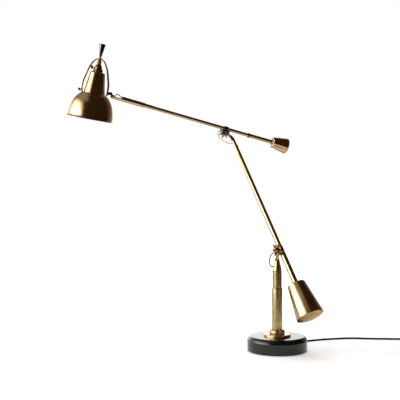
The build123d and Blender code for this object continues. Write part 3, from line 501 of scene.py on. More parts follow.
# ------------------------------------------------------------ mesh helpers --
def arc_points(first: tuple[float, float], middle: tuple[float, float],
               last: tuple[float, float], steps: int) -> Outline:
    """Points on the arc through three points, its first and last among them.

    Args:
        first: where the arc starts.
        middle: any point on the way.
        last: where it ends.
        steps: how many runs it is cut into.

    Returns:
        The points in order.
    """
    (ax, ay), (bx, by), (cx, cy) = first, middle, last
    twice = 2 * (ax * (by - cy) + bx * (cy - ay) + cx * (ay - by))
    a2, b2, c2 = ax * ax + ay * ay, bx * bx + by * by, cx * cx + cy * cy
    ux = (a2 * (by - cy) + b2 * (cy - ay) + c2 * (ay - by)) / twice
    uy = (a2 * (cx - bx) + b2 * (ax - cx) + c2 * (bx - ax)) / twice
    start, mid, end = (math.atan2(y - uy, x - ux) for x, y in (first, middle, last))
    sweep = (end - start) % math.tau
    if (mid - start) % math.tau > sweep:
        sweep -= math.tau
    radius = math.hypot(ax - ux, ay - uy)
    return [(ux + radius * math.cos(start + sweep * step / steps),
             uy + radius * math.sin(start + sweep * step / steps)) for step in range(steps + 1)]


def softened(outline: Sequence[tuple[float, float]], radius: float, steps: int = 4) -> Outline:
    """Rounds the corners of a closed outline, but for those on the line it turns about.

    Args:
        outline: the corners, in millimetres.
        radius: how far back from a corner its rounding starts.
        steps: how many runs a rounding is cut into.

    Returns:
        The rounded outline.
    """
    straight, reach = math.radians(160), 0.45
    rounded: Outline = []
    for index, corner in enumerate(outline):
        here = Vector(corner)
        before = Vector(outline[index - 1]) - here
        after = Vector(outline[(index + 1) % len(outline)]) - here
        if min(corner[0], before.length, after.length) < TINY or before.angle(after) > straight:
            rounded.append(corner)
            continue
        back = min(radius, before.length * reach, after.length * reach)
        start, end = here + before.normalized() * back, here + after.normalized() * back
        for step in range(steps + 1):
            part = step / steps
            point = start * (1 - part) ** 2 + here * (2 * part * (1 - part)) + end * part ** 2
            rounded.append((point.x, point.y))
    return rounded


def linked(name: str, data: bpy.types.ID) -> Piece:
    """A new object in the scene that holds a mesh, curve, camera or light."""
    made = bpy.data.objects.new(name, data)
    bpy.context.scene.collection.objects.link(made)
    return made


def smooth_piece(name: str, mesh: bpy.types.Mesh, sharp: float) -> Piece:
    """A mesh in the scene, shaded smooth but for edges past an angle in degrees."""
    mesh.shade_smooth()
    mesh.set_sharp_from_angle(angle=math.radians(sharp))
    return linked(name, mesh)


def finished_object(name: str, shape: Shape, sharp: float = 34.0) -> Piece:
    """Turns a worked mesh into a smooth-shaded object at the origin.

    Args:
        name: the piece's name.
        shape: the mesh, which is freed.
        sharp: the angle in degrees past which an edge stays sharp.

    Returns:
        The new object.
    """
    bmesh.ops.remove_doubles(shape, verts=shape.verts, dist=TINY / 10)
    bmesh.ops.recalc_face_normals(shape, faces=shape.faces)
    mesh = bpy.data.meshes.new(name)
    shape.to_mesh(mesh)
    shape.free()
    return smooth_piece(name, mesh, sharp)


def add_turned(shape: Shape, turning: Turning, outline: Iterable[tuple[float, float]],
               segments: int) -> None:
    """Adds a closed outline of (radius, height) turned about a line.

    Args:
        shape: the mesh that it is added to.
        turning: the line.
        outline: the closed outline, in millimetres.
        segments: how many spokes it has.
    """
    rings = []
    for radius, height in outline:
        if radius < TINY:
            rings.append([shape.verts.new(turning.at(0, height))])
        else:
            rings.append([shape.verts.new(turning.at(radius, height, math.tau * k / segments))
                          for k in range(segments)])
    for ring, following in zip(rings, rings[1:] + rings[:1]):
        if len(ring) == 1 and len(following) == 1:
            continue
        for k in range(segments):
            nxt = (k + 1) % segments
            corners = [ring[k % len(ring)], ring[nxt % len(ring)],
                       following[nxt % len(following)], following[k % len(following)]]
            unique = list(dict.fromkeys(corners))
            if len(unique) > 2:
                shape.faces.new(unique)


def add_sections(shape: Shape, sections: Sequence[Sequence[bmesh.types.BMVert]]) -> None:
    """Joins equal rings of corners into one closed bar.

    Args:
        shape: the mesh that holds the corners.
        sections: the rings, from one end to the other.
    """
    for ring, following in zip(sections, sections[1:]):
        for k, corner in enumerate(ring):
            nxt = (k + 1) % len(ring)
            shape.faces.new((corner, ring[nxt], following[nxt], following[k]))
    shape.faces.new(sections[0])
    shape.faces.new(sections[-1])


def tube_outline(radius: float, bore: float, start: float, end: float, edge: float = 0.3
                 ) -> Outline:
    """The outline of a tube with softened ends."""
    return softened([(bore, start), (radius, start), (radius, end), (bore, end)], edge)


@dataclass(frozen=True)
class Strap:
    """A flat strap with rounded edges.

    Attributes:
        width: its width in millimetres, as all that follow.
        thick: its thickness along most of its legs.
        crown: its thickness halfway.
        foot: its thickness at its two ends.
        corner_share: the corners' radius as a part of the thickness.
        crown_share: the part of the route, from the middle, over which it thickens.
        foot_share: the part of the route, at each end, over which it thins.
    """

    width: float = 8.0
    thick: float = 5.0
    crown: float = 2.0
    foot: float = 3.4
    corner_share: float = 0.42
    crown_share: float = 0.28
    foot_share: float = 0.1

    def profile(self) -> Outline:
        """The section of its legs, across and along its thickness."""
        corner = self.thick * self.corner_share
        across, deep = self.width / 2 - corner, self.thick / 2 - corner
        points: Outline = []
        for quarter, (x_sign, y_sign) in enumerate(((1, 1), (-1, 1), (-1, -1), (1, -1))):
            for step in range(4):
                angle = math.radians(90 * quarter + 30 * step)
                points.append((x_sign * across + corner * math.cos(angle),
                               y_sign * deep + corner * math.sin(angle)))
        return points

    def along(self, name: str, route: Sequence[Vector], side: Vector) -> Piece:
        """Makes the strap.

        Args:
            name: the piece's name.
            route: points along its middle, in metres.
            side: the direction its width runs in.

        Returns:
            The new object.
        """
        shape = bmesh.new()
        rings = []
        profile, last = self.profile(), len(route) - 1
        for index, point in enumerate(route):
            before, after = route[max(index - 1, 0)], route[min(index + 1, last)]
            outward = side.cross((after - before).normalized())
            away = abs(index / last - 0.5)
            full = self.crown + (self.thick - self.crown) * min(1.0, away / self.crown_share)
            thin = self.foot + (self.thick - self.foot) * (0.5 - away) / self.foot_share
            slim = min(full, thin) / self.thick
            rings.append([shape.verts.new(point + side * (x * MM) + outward * (y * slim * MM))
                          for x, y in profile])
        add_sections(shape, rings)
        return finished_object(name, shape)


def flex_curve(name: str, points: Sequence[Sequence[float]], radius: float) -> Piece:
    """A cord on one smooth spline with the given control points, in millimetres.

    Args:
        name: the piece's name.
        points: the control points.
        radius: the cord's radius in millimetres.

    Returns:
        The curve object.
    """
    curve = bpy.data.curves.new(name, "CURVE")
    curve.dimensions = "3D"
    curve.bevel_depth = radius * MM
    curve.bevel_resolution = 6
    curve.resolution_u = 10
    curve.use_fill_caps = True
    spline = curve.splines.new("NURBS")
    spline.points.add(len(points) - 1)
    for control, (x, y, z) in zip(spline.points, points):
        control.co = (x * MM, y * MM, z * MM, 1.0)
    spline.order_u = 3
    spline.use_endpoint_u = True
    return linked(name, curve)


def as_mesh(source: Piece) -> Piece:
    """The evaluated shape of an object as a plain mesh piece under the same name."""
    graph = bpy.context.evaluated_depsgraph_get()
    mesh = bpy.data.meshes.new_from_object(source.evaluated_get(graph))
    name = source.name
    bpy.data.objects.remove(source)
    mesh.name = name
    return smooth_piece(name, mesh, 40)


# ------------------------------------------------------------- node shapes --
class KnurlTree:
    """A ring of fine ridges round a line, built with geometry nodes."""

    SIDES = 8
    SIZES = (("Ridges", "Int"), ("Radius", "Float"), ("Ridge Radius", "Float"),
             ("Length", "Float"), ("Place", "Vector"), ("Turn", "Vector"),
             ("Finish", "Material"))
    NODES = {"given": "NodeGroupInput", "result": "NodeGroupOutput",
             "circle": "GeometryNodeMeshCircle", "ridge": "GeometryNodeMeshCylinder",
             "spots": "GeometryNodeInstanceOnPoints", "moved": "GeometryNodeTransform",
             "real": "GeometryNodeRealizeInstances", "paint": "GeometryNodeSetMaterial"}
    LINKS = (("given", "Ridges", "circle", "Vertices"), ("given", "Radius", "circle", "Radius"),
             ("given", "Ridge Radius", "ridge", "Radius"), ("given", "Length", "ridge", "Depth"),
             ("circle", "Mesh", "spots", "Points"), ("ridge", "Mesh", "spots", "Instance"),
             ("spots", "Instances", "moved", "Geometry"),
             ("given", "Place", "moved", "Translation"), ("given", "Turn", "moved", "Rotation"),
             ("moved", "Geometry", "real", "Geometry"), ("real", "Geometry", "paint", "Geometry"),
             ("given", "Finish", "paint", "Material"),
             ("paint", "Geometry", "result", "Geometry"))

    def __init__(self) -> None:
        """Builds the tree once, with named inputs for its sizes."""
        self.group = bpy.data.node_groups.new("knurl_ring", "GeometryNodeTree")
        face = self.group.interface
        face.new_socket("Geometry", in_out="OUTPUT", socket_type="NodeSocketGeometry")
        self.sockets = {title: face.new_socket(title, in_out="INPUT",
                                               socket_type=f"NodeSocket{kind}").identifier
                        for title, kind in self.SIZES}
        made = {name: self.group.nodes.new(kind) for name, kind in self.NODES.items()}
        made["ridge"].inputs["Vertices"].default_value = self.SIDES
        for source, leaving, target, entering in self.LINKS:
            self.group.links.new(made[source].outputs[leaving], made[target].inputs[entering])

    def ring(self, name: str, turning: Turning, radius: float, start: float, end: float,
             ridges: int, finish: Paint, ridge: float) -> Piece:
        """Makes one knurled band.

        Args:
            name: the piece's name.
            turning: the line it goes round.
            radius: the middle of its ridges, in millimetres.
            start: where it starts along the line, in millimetres.
            end: where it ends.
            ridges: how many ridges it has.
            finish: its material.
            ridge: a ridge's radius in millimetres.

        Returns:
            The band as a plain mesh.
        """
        carrier = linked(name, bpy.data.meshes.new(name))
        modifier = carrier.modifiers.new("knurl", "NODES")
        modifier.node_group = self.group
        values = {"Ridges": ridges, "Radius": radius * MM, "Ridge Radius": ridge * MM,
                  "Length": (end - start) * MM, "Place": tuple(turning.at(0, (start + end) / 2)),
                  "Turn": tuple(turning.matrix().to_euler()), "Finish": finish}
        for title, value in values.items():
            modifier[self.sockets[title]] = value
        return as_mesh(carrier)


# -------------------------------------------------------------- assemblies --
@dataclass
class Workshop:
    """What every sub-assembly needs while it is built."""

    axes: LampAxes
    finishes: Finishes
    frame: dict
    knurls: KnurlTree

    def coat(self, piece: Piece, finish: Paint) -> None:
        """Makes a finish the only one on a piece."""
        piece.data.materials.clear()
        piece.data.materials.append(finish)

    def dress(self, finish: Paint, *nodes: str) -> None:
        """Gives a finish to nodes of the frame that keep their own shape."""
        for node in nodes:
            self.coat(self.frame["nodes"][node], finish)

    def fit(self, piece: Piece, body: str, finish: Optional[Paint], *nodes: str, like: str = ""
            ) -> None:
        """Puts a finished piece on a body, in place of the named nodes.

        Args:
            piece: the new piece.
            body: the body that it moves with.
            finish: its material, or None where it has one.
            nodes: the nodes it stands for.
            like: the node whose kind of finish it has, where it stands for none; it is not used.
        """
        if finish is not None:
            self.coat(piece, finish)
        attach(piece, body)
        if nodes:
            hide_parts(*nodes)
        LOG.info("%s rides on %s", piece.name, body)

    def turn(self, name: str, line: Turning, outline: Iterable[tuple[float, float]],
             segments: int, body: str, finish: Paint, *nodes: str, like: str = "") -> None:
        """Turns a piece and puts it on a body.

        Args:
            name: the piece's name.
            line: the line it is turned about.
            outline: its closed outline, in millimetres.
            segments: how many spokes it has.
            body: the body that it moves with.
            finish: its material.
            nodes: the nodes it stands for.
            like: passed on to fit, which does not use it.
        """
        shape = bmesh.new()
        add_turned(shape, line, outline, segments)
        self.fit(finished_object(name, shape), body, finish, *nodes, like=like)


class Assembly(Protocol):
    """Anything that can be built in the workshop."""

    def build(self, shop: Workshop) -> None:
        """Makes every piece of the assembly."""


@dataclass
class BaseAssembly:
    """The lacquered base, the turned foot and the fixed half of the column.

    Attributes:
        radius: the base's radius, in millimetres, as all that follow.
        side_top: where its straight side ends.
        top: the height of its flat top.
        top_radius: where its shoulder meets the top.
        hole: the radius of the hole for the cord.
        flange_top: the height of the brass flange.
        bead_top: the height of the turned bead on it.
        sleeve_radius: the column's radius.
        sleeve_top: the height of its fixed half.
    """

    radius: float = 76.0
    side_top: float = 26.0
    top: float = 38.5
    top_radius: float = 69.0
    hole: float = 5.1
    flange_top: float = 43.5
    bead_top: float = 54.5
    sleeve_radius: float = 12.9
    sleeve_top: float = 160.0

    def body_outline(self) -> Outline:
        """The base with its hollow below and its rounded shoulder."""
        outline: Outline = [(self.hole, 24.0), (62.0, 24.0), (62.0, 1.5)]
        outline += arc_points((self.radius - 1.2, 1.5), (self.radius - 0.35, 1.85),
                              (self.radius, 2.7), 5)
        outline += arc_points((self.radius, self.side_top), (self.radius - 2, self.side_top + 7.5),
                              (self.top_radius, self.top), 18)
        outline += arc_points((self.top_radius - 0.4, self.top), (self.top_radius - 1, self.top),
                              (self.top_radius - 1.6, self.top + 0.001), 2)
        return outline + [(self.hole, self.top)]

    def build(self, shop: Workshop) -> None:
        """Makes every piece of the base."""
        paint = shop.finishes
        shop.turn("base_body", COLUMN, self.body_outline(), 256, "base", paint.base_lacquer,
                  "base_block")
        low, high = self.flange_top, self.bead_top
        flange = [(self.hole, self.top), (34.2, self.top), (34.5, 38.9), (34.5, 41.8)]
        flange += arc_points((34.5, 41.8), (34.0, 43.0), (32.8, low), 6) + [(self.hole, low)]
        shop.turn("foot_flange", COLUMN, flange, 192, "base", paint.foot_brass, "column_flange")
        bead = [(12.95, low)] + arc_points((18.0, low), (19.5, 48.1), (16.5, high), 18)
        bead += arc_points((16.5, high), (15.4, 54.75), (14.6, high), 4)[1:] + [(12.95, 54.4)]
        shop.turn("foot_bead", COLUMN, bead, 160, "base", paint.foot_brass, "column_foot_bead")
        sleeve = softened([(8.0, low), (self.sleeve_radius, low),
                           (self.sleeve_radius, self.sleeve_top - 0.6),
                           (self.sleeve_radius - 0.6, self.sleeve_top), (8.0, self.sleeve_top)],
                          0.3)
        shop.turn("column_tube", COLUMN, sleeve, 128, "base", paint.column_brass, "column_sleeve")
        shop.dress(paint.felt, "base_felt")
        shop.dress(paint.iron, "ballast_disc")
        shop.dress(paint.steel, "tie_tube", "tie_nut", "swivel_grub_screw")


@dataclass
class CordAssembly:
    """The mains cord with its relief, its put-away coil and its plug.

    Attributes:
        heading: the direction it leaves the base in, in radians.
        exit_height: the height it leaves at, in millimetres, as all lengths here.
        bush_end: from the base's middle to the end of the relief.
        radius: the cord's radius.
        coil_radius: the coil's outer radius.
        pitch: how far apart the coil's turns lie.
        layer: how far apart its two layers lie.
        half_turns_in: half turns wound inwards on the table.
        half_turns_out: half turns wound outwards on top of them.
        tail: from the coil to the plug.
        run: points of the cord on the table, from the base to the coil.
    """

    heading: float = math.radians(60.0)
    exit_height: float = 11.0
    bush_end: float = 102.0
    radius: float = 2.5
    coil_radius: float = 36.0
    pitch: float = 5.5
    layer: float = 5.5
    half_turns_in: int = 7
    half_turns_out: int = 8
    tail: float = 28.0
    run: Sequence[tuple[float, float]] = (
        (79.0, 117.5), (104.0, 131.5), (140.0, 149.5), (176.0, 160.0), (213.0, 168.8),
        (240.0, 166.2), (270.0, 160.0), (308.0, 158.6), (348.0, 155.4), (386.0, 156.5))

    def way_out(self) -> Turning:
        """The line along which the cord leaves the base."""
        out = Vector((math.cos(self.heading), math.sin(self.heading), 0.0))
        return Turning(UP * (self.exit_height * MM), out, UP)

    def route(self) -> list[tuple[float, float, float]]:
        """The cord's control points from the base to the plug, in millimetres."""
        line = self.way_out()
        points = [tuple(line.at(0, self.bush_end + past) / MM) for past in (-3.9, 9.5)]
        points += [(65.0, 108.0, 6.0)] + [(x, y, self.radius) for x, y in self.run]
        heading = (Vector(points[-1]) - Vector(points[-2])).normalized()
        side = heading.cross(UP)
        here = Vector(points[-1]) + heading * (2 * self.radius)
        radius = self.coil_radius
        reach = 1 / math.cos(math.radians(15))
        for half_turn in range(self.half_turns_in + 1 + self.half_turns_out):
            climbs = half_turn == self.half_turns_in
            centre = here + side * radius
            for step in range(6):
                angle = math.radians(15 + 30 * step)
                spot = centre + (heading * math.sin(angle) - side * math.cos(angle)) * (
                    radius * reach)
                rise = self.layer * (step + 0.5) / 6 if climbs else 0.0
                points.append((spot.x, spot.y, here.z + rise))
            here = here + side * (2 * radius)
            heading, side = heading * -1, side * -1
            if climbs:
                here = here + UP * self.layer
            radius += math.copysign(self.pitch / 2, half_turn - self.half_turns_in)
        return points + [tuple(here + heading * 8.0), tuple(here + heading * self.tail)]

    def relief(self) -> Outline:
        """The rubber relief with its ribs, from inside the base outwards."""
        outline: Outline = [(0, 60.0), (4.5, 60.0), (4.5, 76.3), (6.4, 76.3), (6.4, 78.2)]
        outline += arc_points((6.4, 78.5), (6.0, 79.6), (5.2, 80.5), 4)
        for ring in range(6):
            low = 82.0 + 3.2 * ring
            girth = 5.1 - 1.5 * (low - 80.5) / 21.5
            outline += [(girth, low), (girth - 0.55, low + 0.25), (girth - 0.6, low + 1.0),
                        (girth - 0.1, low + 1.3)]
        return outline + [(3.5, 101.7), (3.2, 102.0), (2.55, 102.0), (2.55, 98.0), (0, 98.0)]

    def build(self, shop: Workshop) -> None:
        """Makes the cord, its relief and its plug."""
        paint = shop.finishes
        cord = flex_curve("mains_lead", self.route(), self.radius)
        shop.fit(cord, "base", paint.braid, "mains_cord", "cord_coil")
        line = self.way_out()
        shop.turn("cord_relief", line, self.relief(), 64, "base", paint.rubber, "cord_bush")
        shop.dress(paint.rubber, "plug_body")
        shop.dress(paint.nickel, "plug_pins")
        tuple(line.at(0, self.bush_end))


@dataclass
class WeightedArm:
    """An arm's tubes and its truncated-cone weight.

    Attributes:
        name: the start of its pieces' names, and of its nodes'.
        line: its centre line, from the joint to the weight.
        tube_finish: the material of its tubes.
        weight_finish: the material of its weight.
        sleeve_node: the node that its sleeve stands for.
        far: from the joint to the weight's wide end, in millimetres, as all that follow.
        weight: the weight's narrow radius, wide radius and length.
        dome: how far the cap stands out.
        tube: the tube's radius, start and end.
        sleeve: the sleeve's radius, start and end.
        bore: the tube's bore.
        ring: whether a dark ring closes the sleeve's near end.
        screw: where a set screw sits along the tube, or 0 where it has none.
    """

    name: str
    line: Turning
    tube_finish: Paint
    weight_finish: Paint
    sleeve_node: str
    far: float
    weight: tuple[float, float, float]
    dome: float
    tube: tuple[float, float, float]
    sleeve: tuple[float, float, float]
    bore: float
    ring: bool = False
    screw: float = 0.0

    def set_screw(self, shop: Workshop) -> None:
        """Makes the small slotted screw in the tube's side."""
        line = Turning(self.line.at(self.tube[0] - 0.35, self.screw), self.line.radial,
                       self.line.axis)
        shape = bmesh.new()
        head = softened([(0.0, 0.0), (1.5, 0.0), (1.5, 0.7), (1.1, 1.0), (0.0, 1.0)], 0.15)
        add_turned(shape, line, head, 32)
        slot = Matrix.Diagonal((2.3 * MM, 0.35 * MM, 0.12 * MM, 1.0))
        bmesh.ops.create_cube(shape, size=1.0, matrix=line.matrix() @ Matrix.Translation(
            (0, 0, 1.02 * MM)) @ slot)
        shop.fit(finished_object(f"{self.name}_set_screw", shape), f"{self.name}_arm",
                 shop.finishes.dark_steel, like="swivel_grub_screw")

    def tubes(self, shop: Workshop) -> None:
        """Makes the tube, the sleeve over it and the sleeve's ring."""
        body = f"{self.name}_arm"
        radius, start, end = self.tube
        shop.turn(f"{self.name}_tube", self.line, tube_outline(radius, self.bore, start, end), 96,
                  body, self.tube_finish, f"{self.name}_arm_tube")
        outer, first, last = self.sleeve
        shop.turn(f"{self.name}_sleeve_tube", self.line,
                  tube_outline(outer, radius + 0.05, first, last), 96, body, self.tube_finish,
                  self.sleeve_node)
        if self.ring:
            shop.turn(f"{self.name}_sleeve_ring", self.line,
                      tube_outline(6.9, radius + 0.05, first - 2.6, first, 0.6), 96, body,
                      shop.finishes.dark_steel, like=self.sleeve_node)

    def build(self, shop: Workshop) -> None:
        """Makes the tubes, the weight's shell and its cap."""
        self.tubes(shop)
        body, far = f"{self.name}_arm", self.far
        narrow, wide, length = self.weight
        low, inner = far - length, self.sleeve[0] + 0.05
        shell = softened([(inner, low), (narrow - 2.5, low), (narrow - 0.7, low + 0.7),
                          (narrow, low + 2.4), (wide, far), (wide - 1.5, far),
                          (narrow - 1.5, low + 3.0), (narrow - 2.5, low + 1.5),
                          (inner, low + 1.5)], 0.9, 6)
        collar = softened([(inner, low - 1.4), (inner + 2.35, low - 1.4),
                           (inner + 2.95, low + 0.4), (inner, low + 0.4)], 0.7)
        shape = bmesh.new()
        add_turned(shape, self.line, shell, 192)
        add_turned(shape, self.line, collar, 96)
        shop.fit(finished_object(f"{self.name}_weight_shell", shape), body, self.weight_finish,
                 f"{self.name}_weight")
        rise = self.dome - 1.2
        ball = (wide ** 2 + rise ** 2) / (2 * rise)
        half = math.asin(wide / ball) / 2
        middle = (ball * math.sin(half), far + self.dome - ball * (1 - math.cos(half)))
        cap = [(0, far - 0.6), (wide - 1.7, far - 0.6), (wide - 1.7, far),
               (wide - 0.3, far + 0.05), (wide, far + 0.35), (wide, far + 0.9)]
        cap += arc_points((wide - 0.25, far + 1.3), middle, (0, far + self.dome), 24)
        shop.turn(f"{self.name}_weight_end", self.line, cap, 192, body, shop.finishes.cap_brass,
                  f"{self.name}_weight_cap")
        if self.screw:
            self.set_screw(shop)


@dataclass
class WingNut:
    """A cast wing nut with two upswept wings.

    Attributes:
        end: which clamp it belongs to, lower or upper.
        hinge: the bolt it turns on.
        seat: where it stands along the bolt, in millimetres, as all lengths here.
        hub: its hub's radius.
        height: its hub's height.
        span: from the middle to a wing's tip.
        bore: its bore's radius.
        lean: how far the wings are turned about the bolt, in degrees.
        rows: a wing's sections: how far out, how low and high, and how thick, of which the
            first is a part of the span and the next two are parts of the height.
        corners: how many corners a section has.
    """

    end: str
    hinge: Turning
    seat: float
    hub: float
    height: float
    span: float
    bore: float
    lean: float
    rows: Sequence[tuple[float, float, float, float]] = (
        (0.42, 0.10, 0.86, 1.35), (0.62, 0.24, 1.02, 1.2), (0.8, 0.5, 1.24, 1.1),
        (0.93, 0.84, 1.36, 1.0), (1.0, 1.02, 1.2, 0.7))
    corners: int = 12

    def build(self, shop: Workshop) -> None:
        """Makes the nut on its bolt."""
        side = self.hinge.axis.cross(self.hinge.radial)
        lean = math.radians(self.lean)
        spoke = self.hinge.radial * math.cos(lean) + side * math.sin(lean)
        line = Turning(self.hinge.origin, self.hinge.axis, spoke)
        across = line.axis.cross(line.radial)
        shape = bmesh.new()
        low, high = self.seat, self.seat + self.height
        add_turned(shape, line, softened([(self.bore, low), (self.hub, low), (self.hub, low + 1.2),
                                          (self.hub * 0.74, high), (self.bore, high)], 0.6), 64)
        for sign in (1, -1):
            sections = []
            for out, bottom, top, thick in self.rows:
                middle, half = (bottom + top) / 2, (top - bottom) / 2
                turns = [math.tau * k / self.corners for k in range(self.corners)]
                sections.append([shape.verts.new(
                    line.at(sign * out * self.span,
                            low + self.height * (middle + half * math.sin(turn)))
                    + across * (thick * math.cos(turn) * MM)) for turn in turns])
            add_sections(shape, sections)
        shop.fit(finished_object(f"{self.end}_clamp_nut", shape, 50), f"{self.end}_nut",
                 shop.finishes.gilt, f"{self.end}_wing_nut")


@dataclass
class ColumnHead:
    """The pointed upper half of the column and its clamp.

    Attributes:
        wire_hole: the height of the hole that the flex leaves by, in millimetres.
        flex_radius: the flex's radius.
    """

    wire_hole: float = 213.0
    flex_radius: float = 1.35

    def flex(self, shop: Workshop) -> Piece:
        """The flex that loops from the column to the saddle."""
        hinge = shop.axes.lower_hinge()
        out = Vector((-0.95, 0.31, 0.0))
        start = Vector((0, 0, self.wire_hole)) + out * 9.8
        middle = hinge.origin / MM + hinge.axis * -6.8
        rim = hinge.radial * -0.94 + UP * -0.3412
        points = [start, start + out * 6.6, Vector((-19.5, 6.5, 224.0)),
                  Vector((-17.5, 10.5, 239.0)), middle + rim * 22.0, middle + rim * 14.1]
        return as_mesh(flex_curve("column_flex", points, self.flex_radius))

    def build(self, shop: Workshop) -> None:
        """Dresses the clamp and makes the flex."""
        paint = shop.finishes
        shop.dress(paint.column_brass, "column_head")
        shop.dress(paint.dark_brass, "column_cheek", "lower_saddle")
        shop.dress(paint.rubber, "column_wire_bush")
        shop.dress(paint.dark_steel, "lower_washers", "lower_pivot_bolt")
        shop.dress(paint.lead, "lower_weight_lead")
        piece = self.flex(shop)
        # The flex gets its darkened copy, a painted shade.
        shop.coat(piece, paint.dark_flex)
        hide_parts("lower_flex")
        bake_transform(piece)


@dataclass
class SwanNeck:
    """The bent neck on top of the lower arm and the upper clamp.

    Attributes:
        wire_hole: from the lower joint up to the hole that the flex leaves by, in millimetres.
        flex_radius: the flex's radius.
    """

    wire_hole: float = 336.0
    flex_radius: float = 0.9

    def flex(self, shop: Workshop) -> Piece:
        """The flex that loops from the neck to the upper saddle."""
        lower, upper = shop.axes.lower_arm(), shop.axes.upper_arm()
        level = shop.axes.lower_hinge().radial
        lift = shop.axes.tilt_hinge().axis.cross(upper.axis)
        points = [lower.at(0, -self.wire_hole) / MM - level * 5.8, Vector((-113.5, 152.5, 537.0)),
                  Vector((-123.0, 148.0, 538.5)), Vector((-136.0, 144.0, 546.0)),
                  Vector((-148.0, 143.5, 557.0)), Vector((-147.5, 143.5, 569.0)),
                  upper.origin / MM - upper.axis * 14.0 - lift * 6.0]
        return as_mesh(flex_curve("neck_flex", points, self.flex_radius))

    def build(self, shop: Workshop) -> None:
        """Dresses the neck and makes its flex."""
        paint = shop.finishes
        shop.dress(paint.lower_brass, "swan_neck")
        shop.dress(paint.dark_steel, "neck_cheek", "upper_washers", "upper_pivot_bolt",
                   "upper_saddle")
        shop.dress(paint.lead, "upper_weight_lead")
        piece = self.flex(shop)
        # The flex gets its near-white copy, a painted highlight.
        shop.coat(piece, paint.pale_flex)
        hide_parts("upper_flex")
        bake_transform(piece)


@dataclass
class HeadSleeve:
    """The twisting sleeve with its tongue, at the end of the upper arm.

    Attributes:
        flex_radius: the flex's radius, in millimetres.
    """

    flex_radius: float = 1.1

    def build(self, shop: Workshop) -> None:
        """Dresses the sleeve and makes its flex and its screw's knurl."""
        paint = shop.finishes
        shop.dress(paint.upper_brass, "twist_collar")
        shop.dress(paint.upper_weight_brass, "head_sleeve")
        shop.dress(paint.rubber, "tongue_wire_bush")
        shop.dress(paint.dark_steel, "tilt_screw")
        hinge = shop.axes.tilt_hinge()
        arm = shop.axes.upper_arm()
        lift = hinge.axis.cross(hinge.radial)
        points = [arm.origin / MM - arm.axis * out + lift * up
                  for out, up in ((295.5, 2.9), (306.5, 2.9), (313.5, 8.6), (322.3, 6.85),
                                  (322.3, -1.15))]
        # The flex gets its darkened copy, a painted shade.
        shop.fit(as_mesh(flex_curve("tongue_flex", points, self.flex_radius)), "head_sleeve",
                 paint.dark_flex, "head_flex")
        shop.fit(shop.knurls.ring("tilt_screw_knurl", hinge, 4.15, 2.2, 5.5, 30, paint.dark_steel,
                                  0.2), "tilt_screw", None, like="tilt_screw")


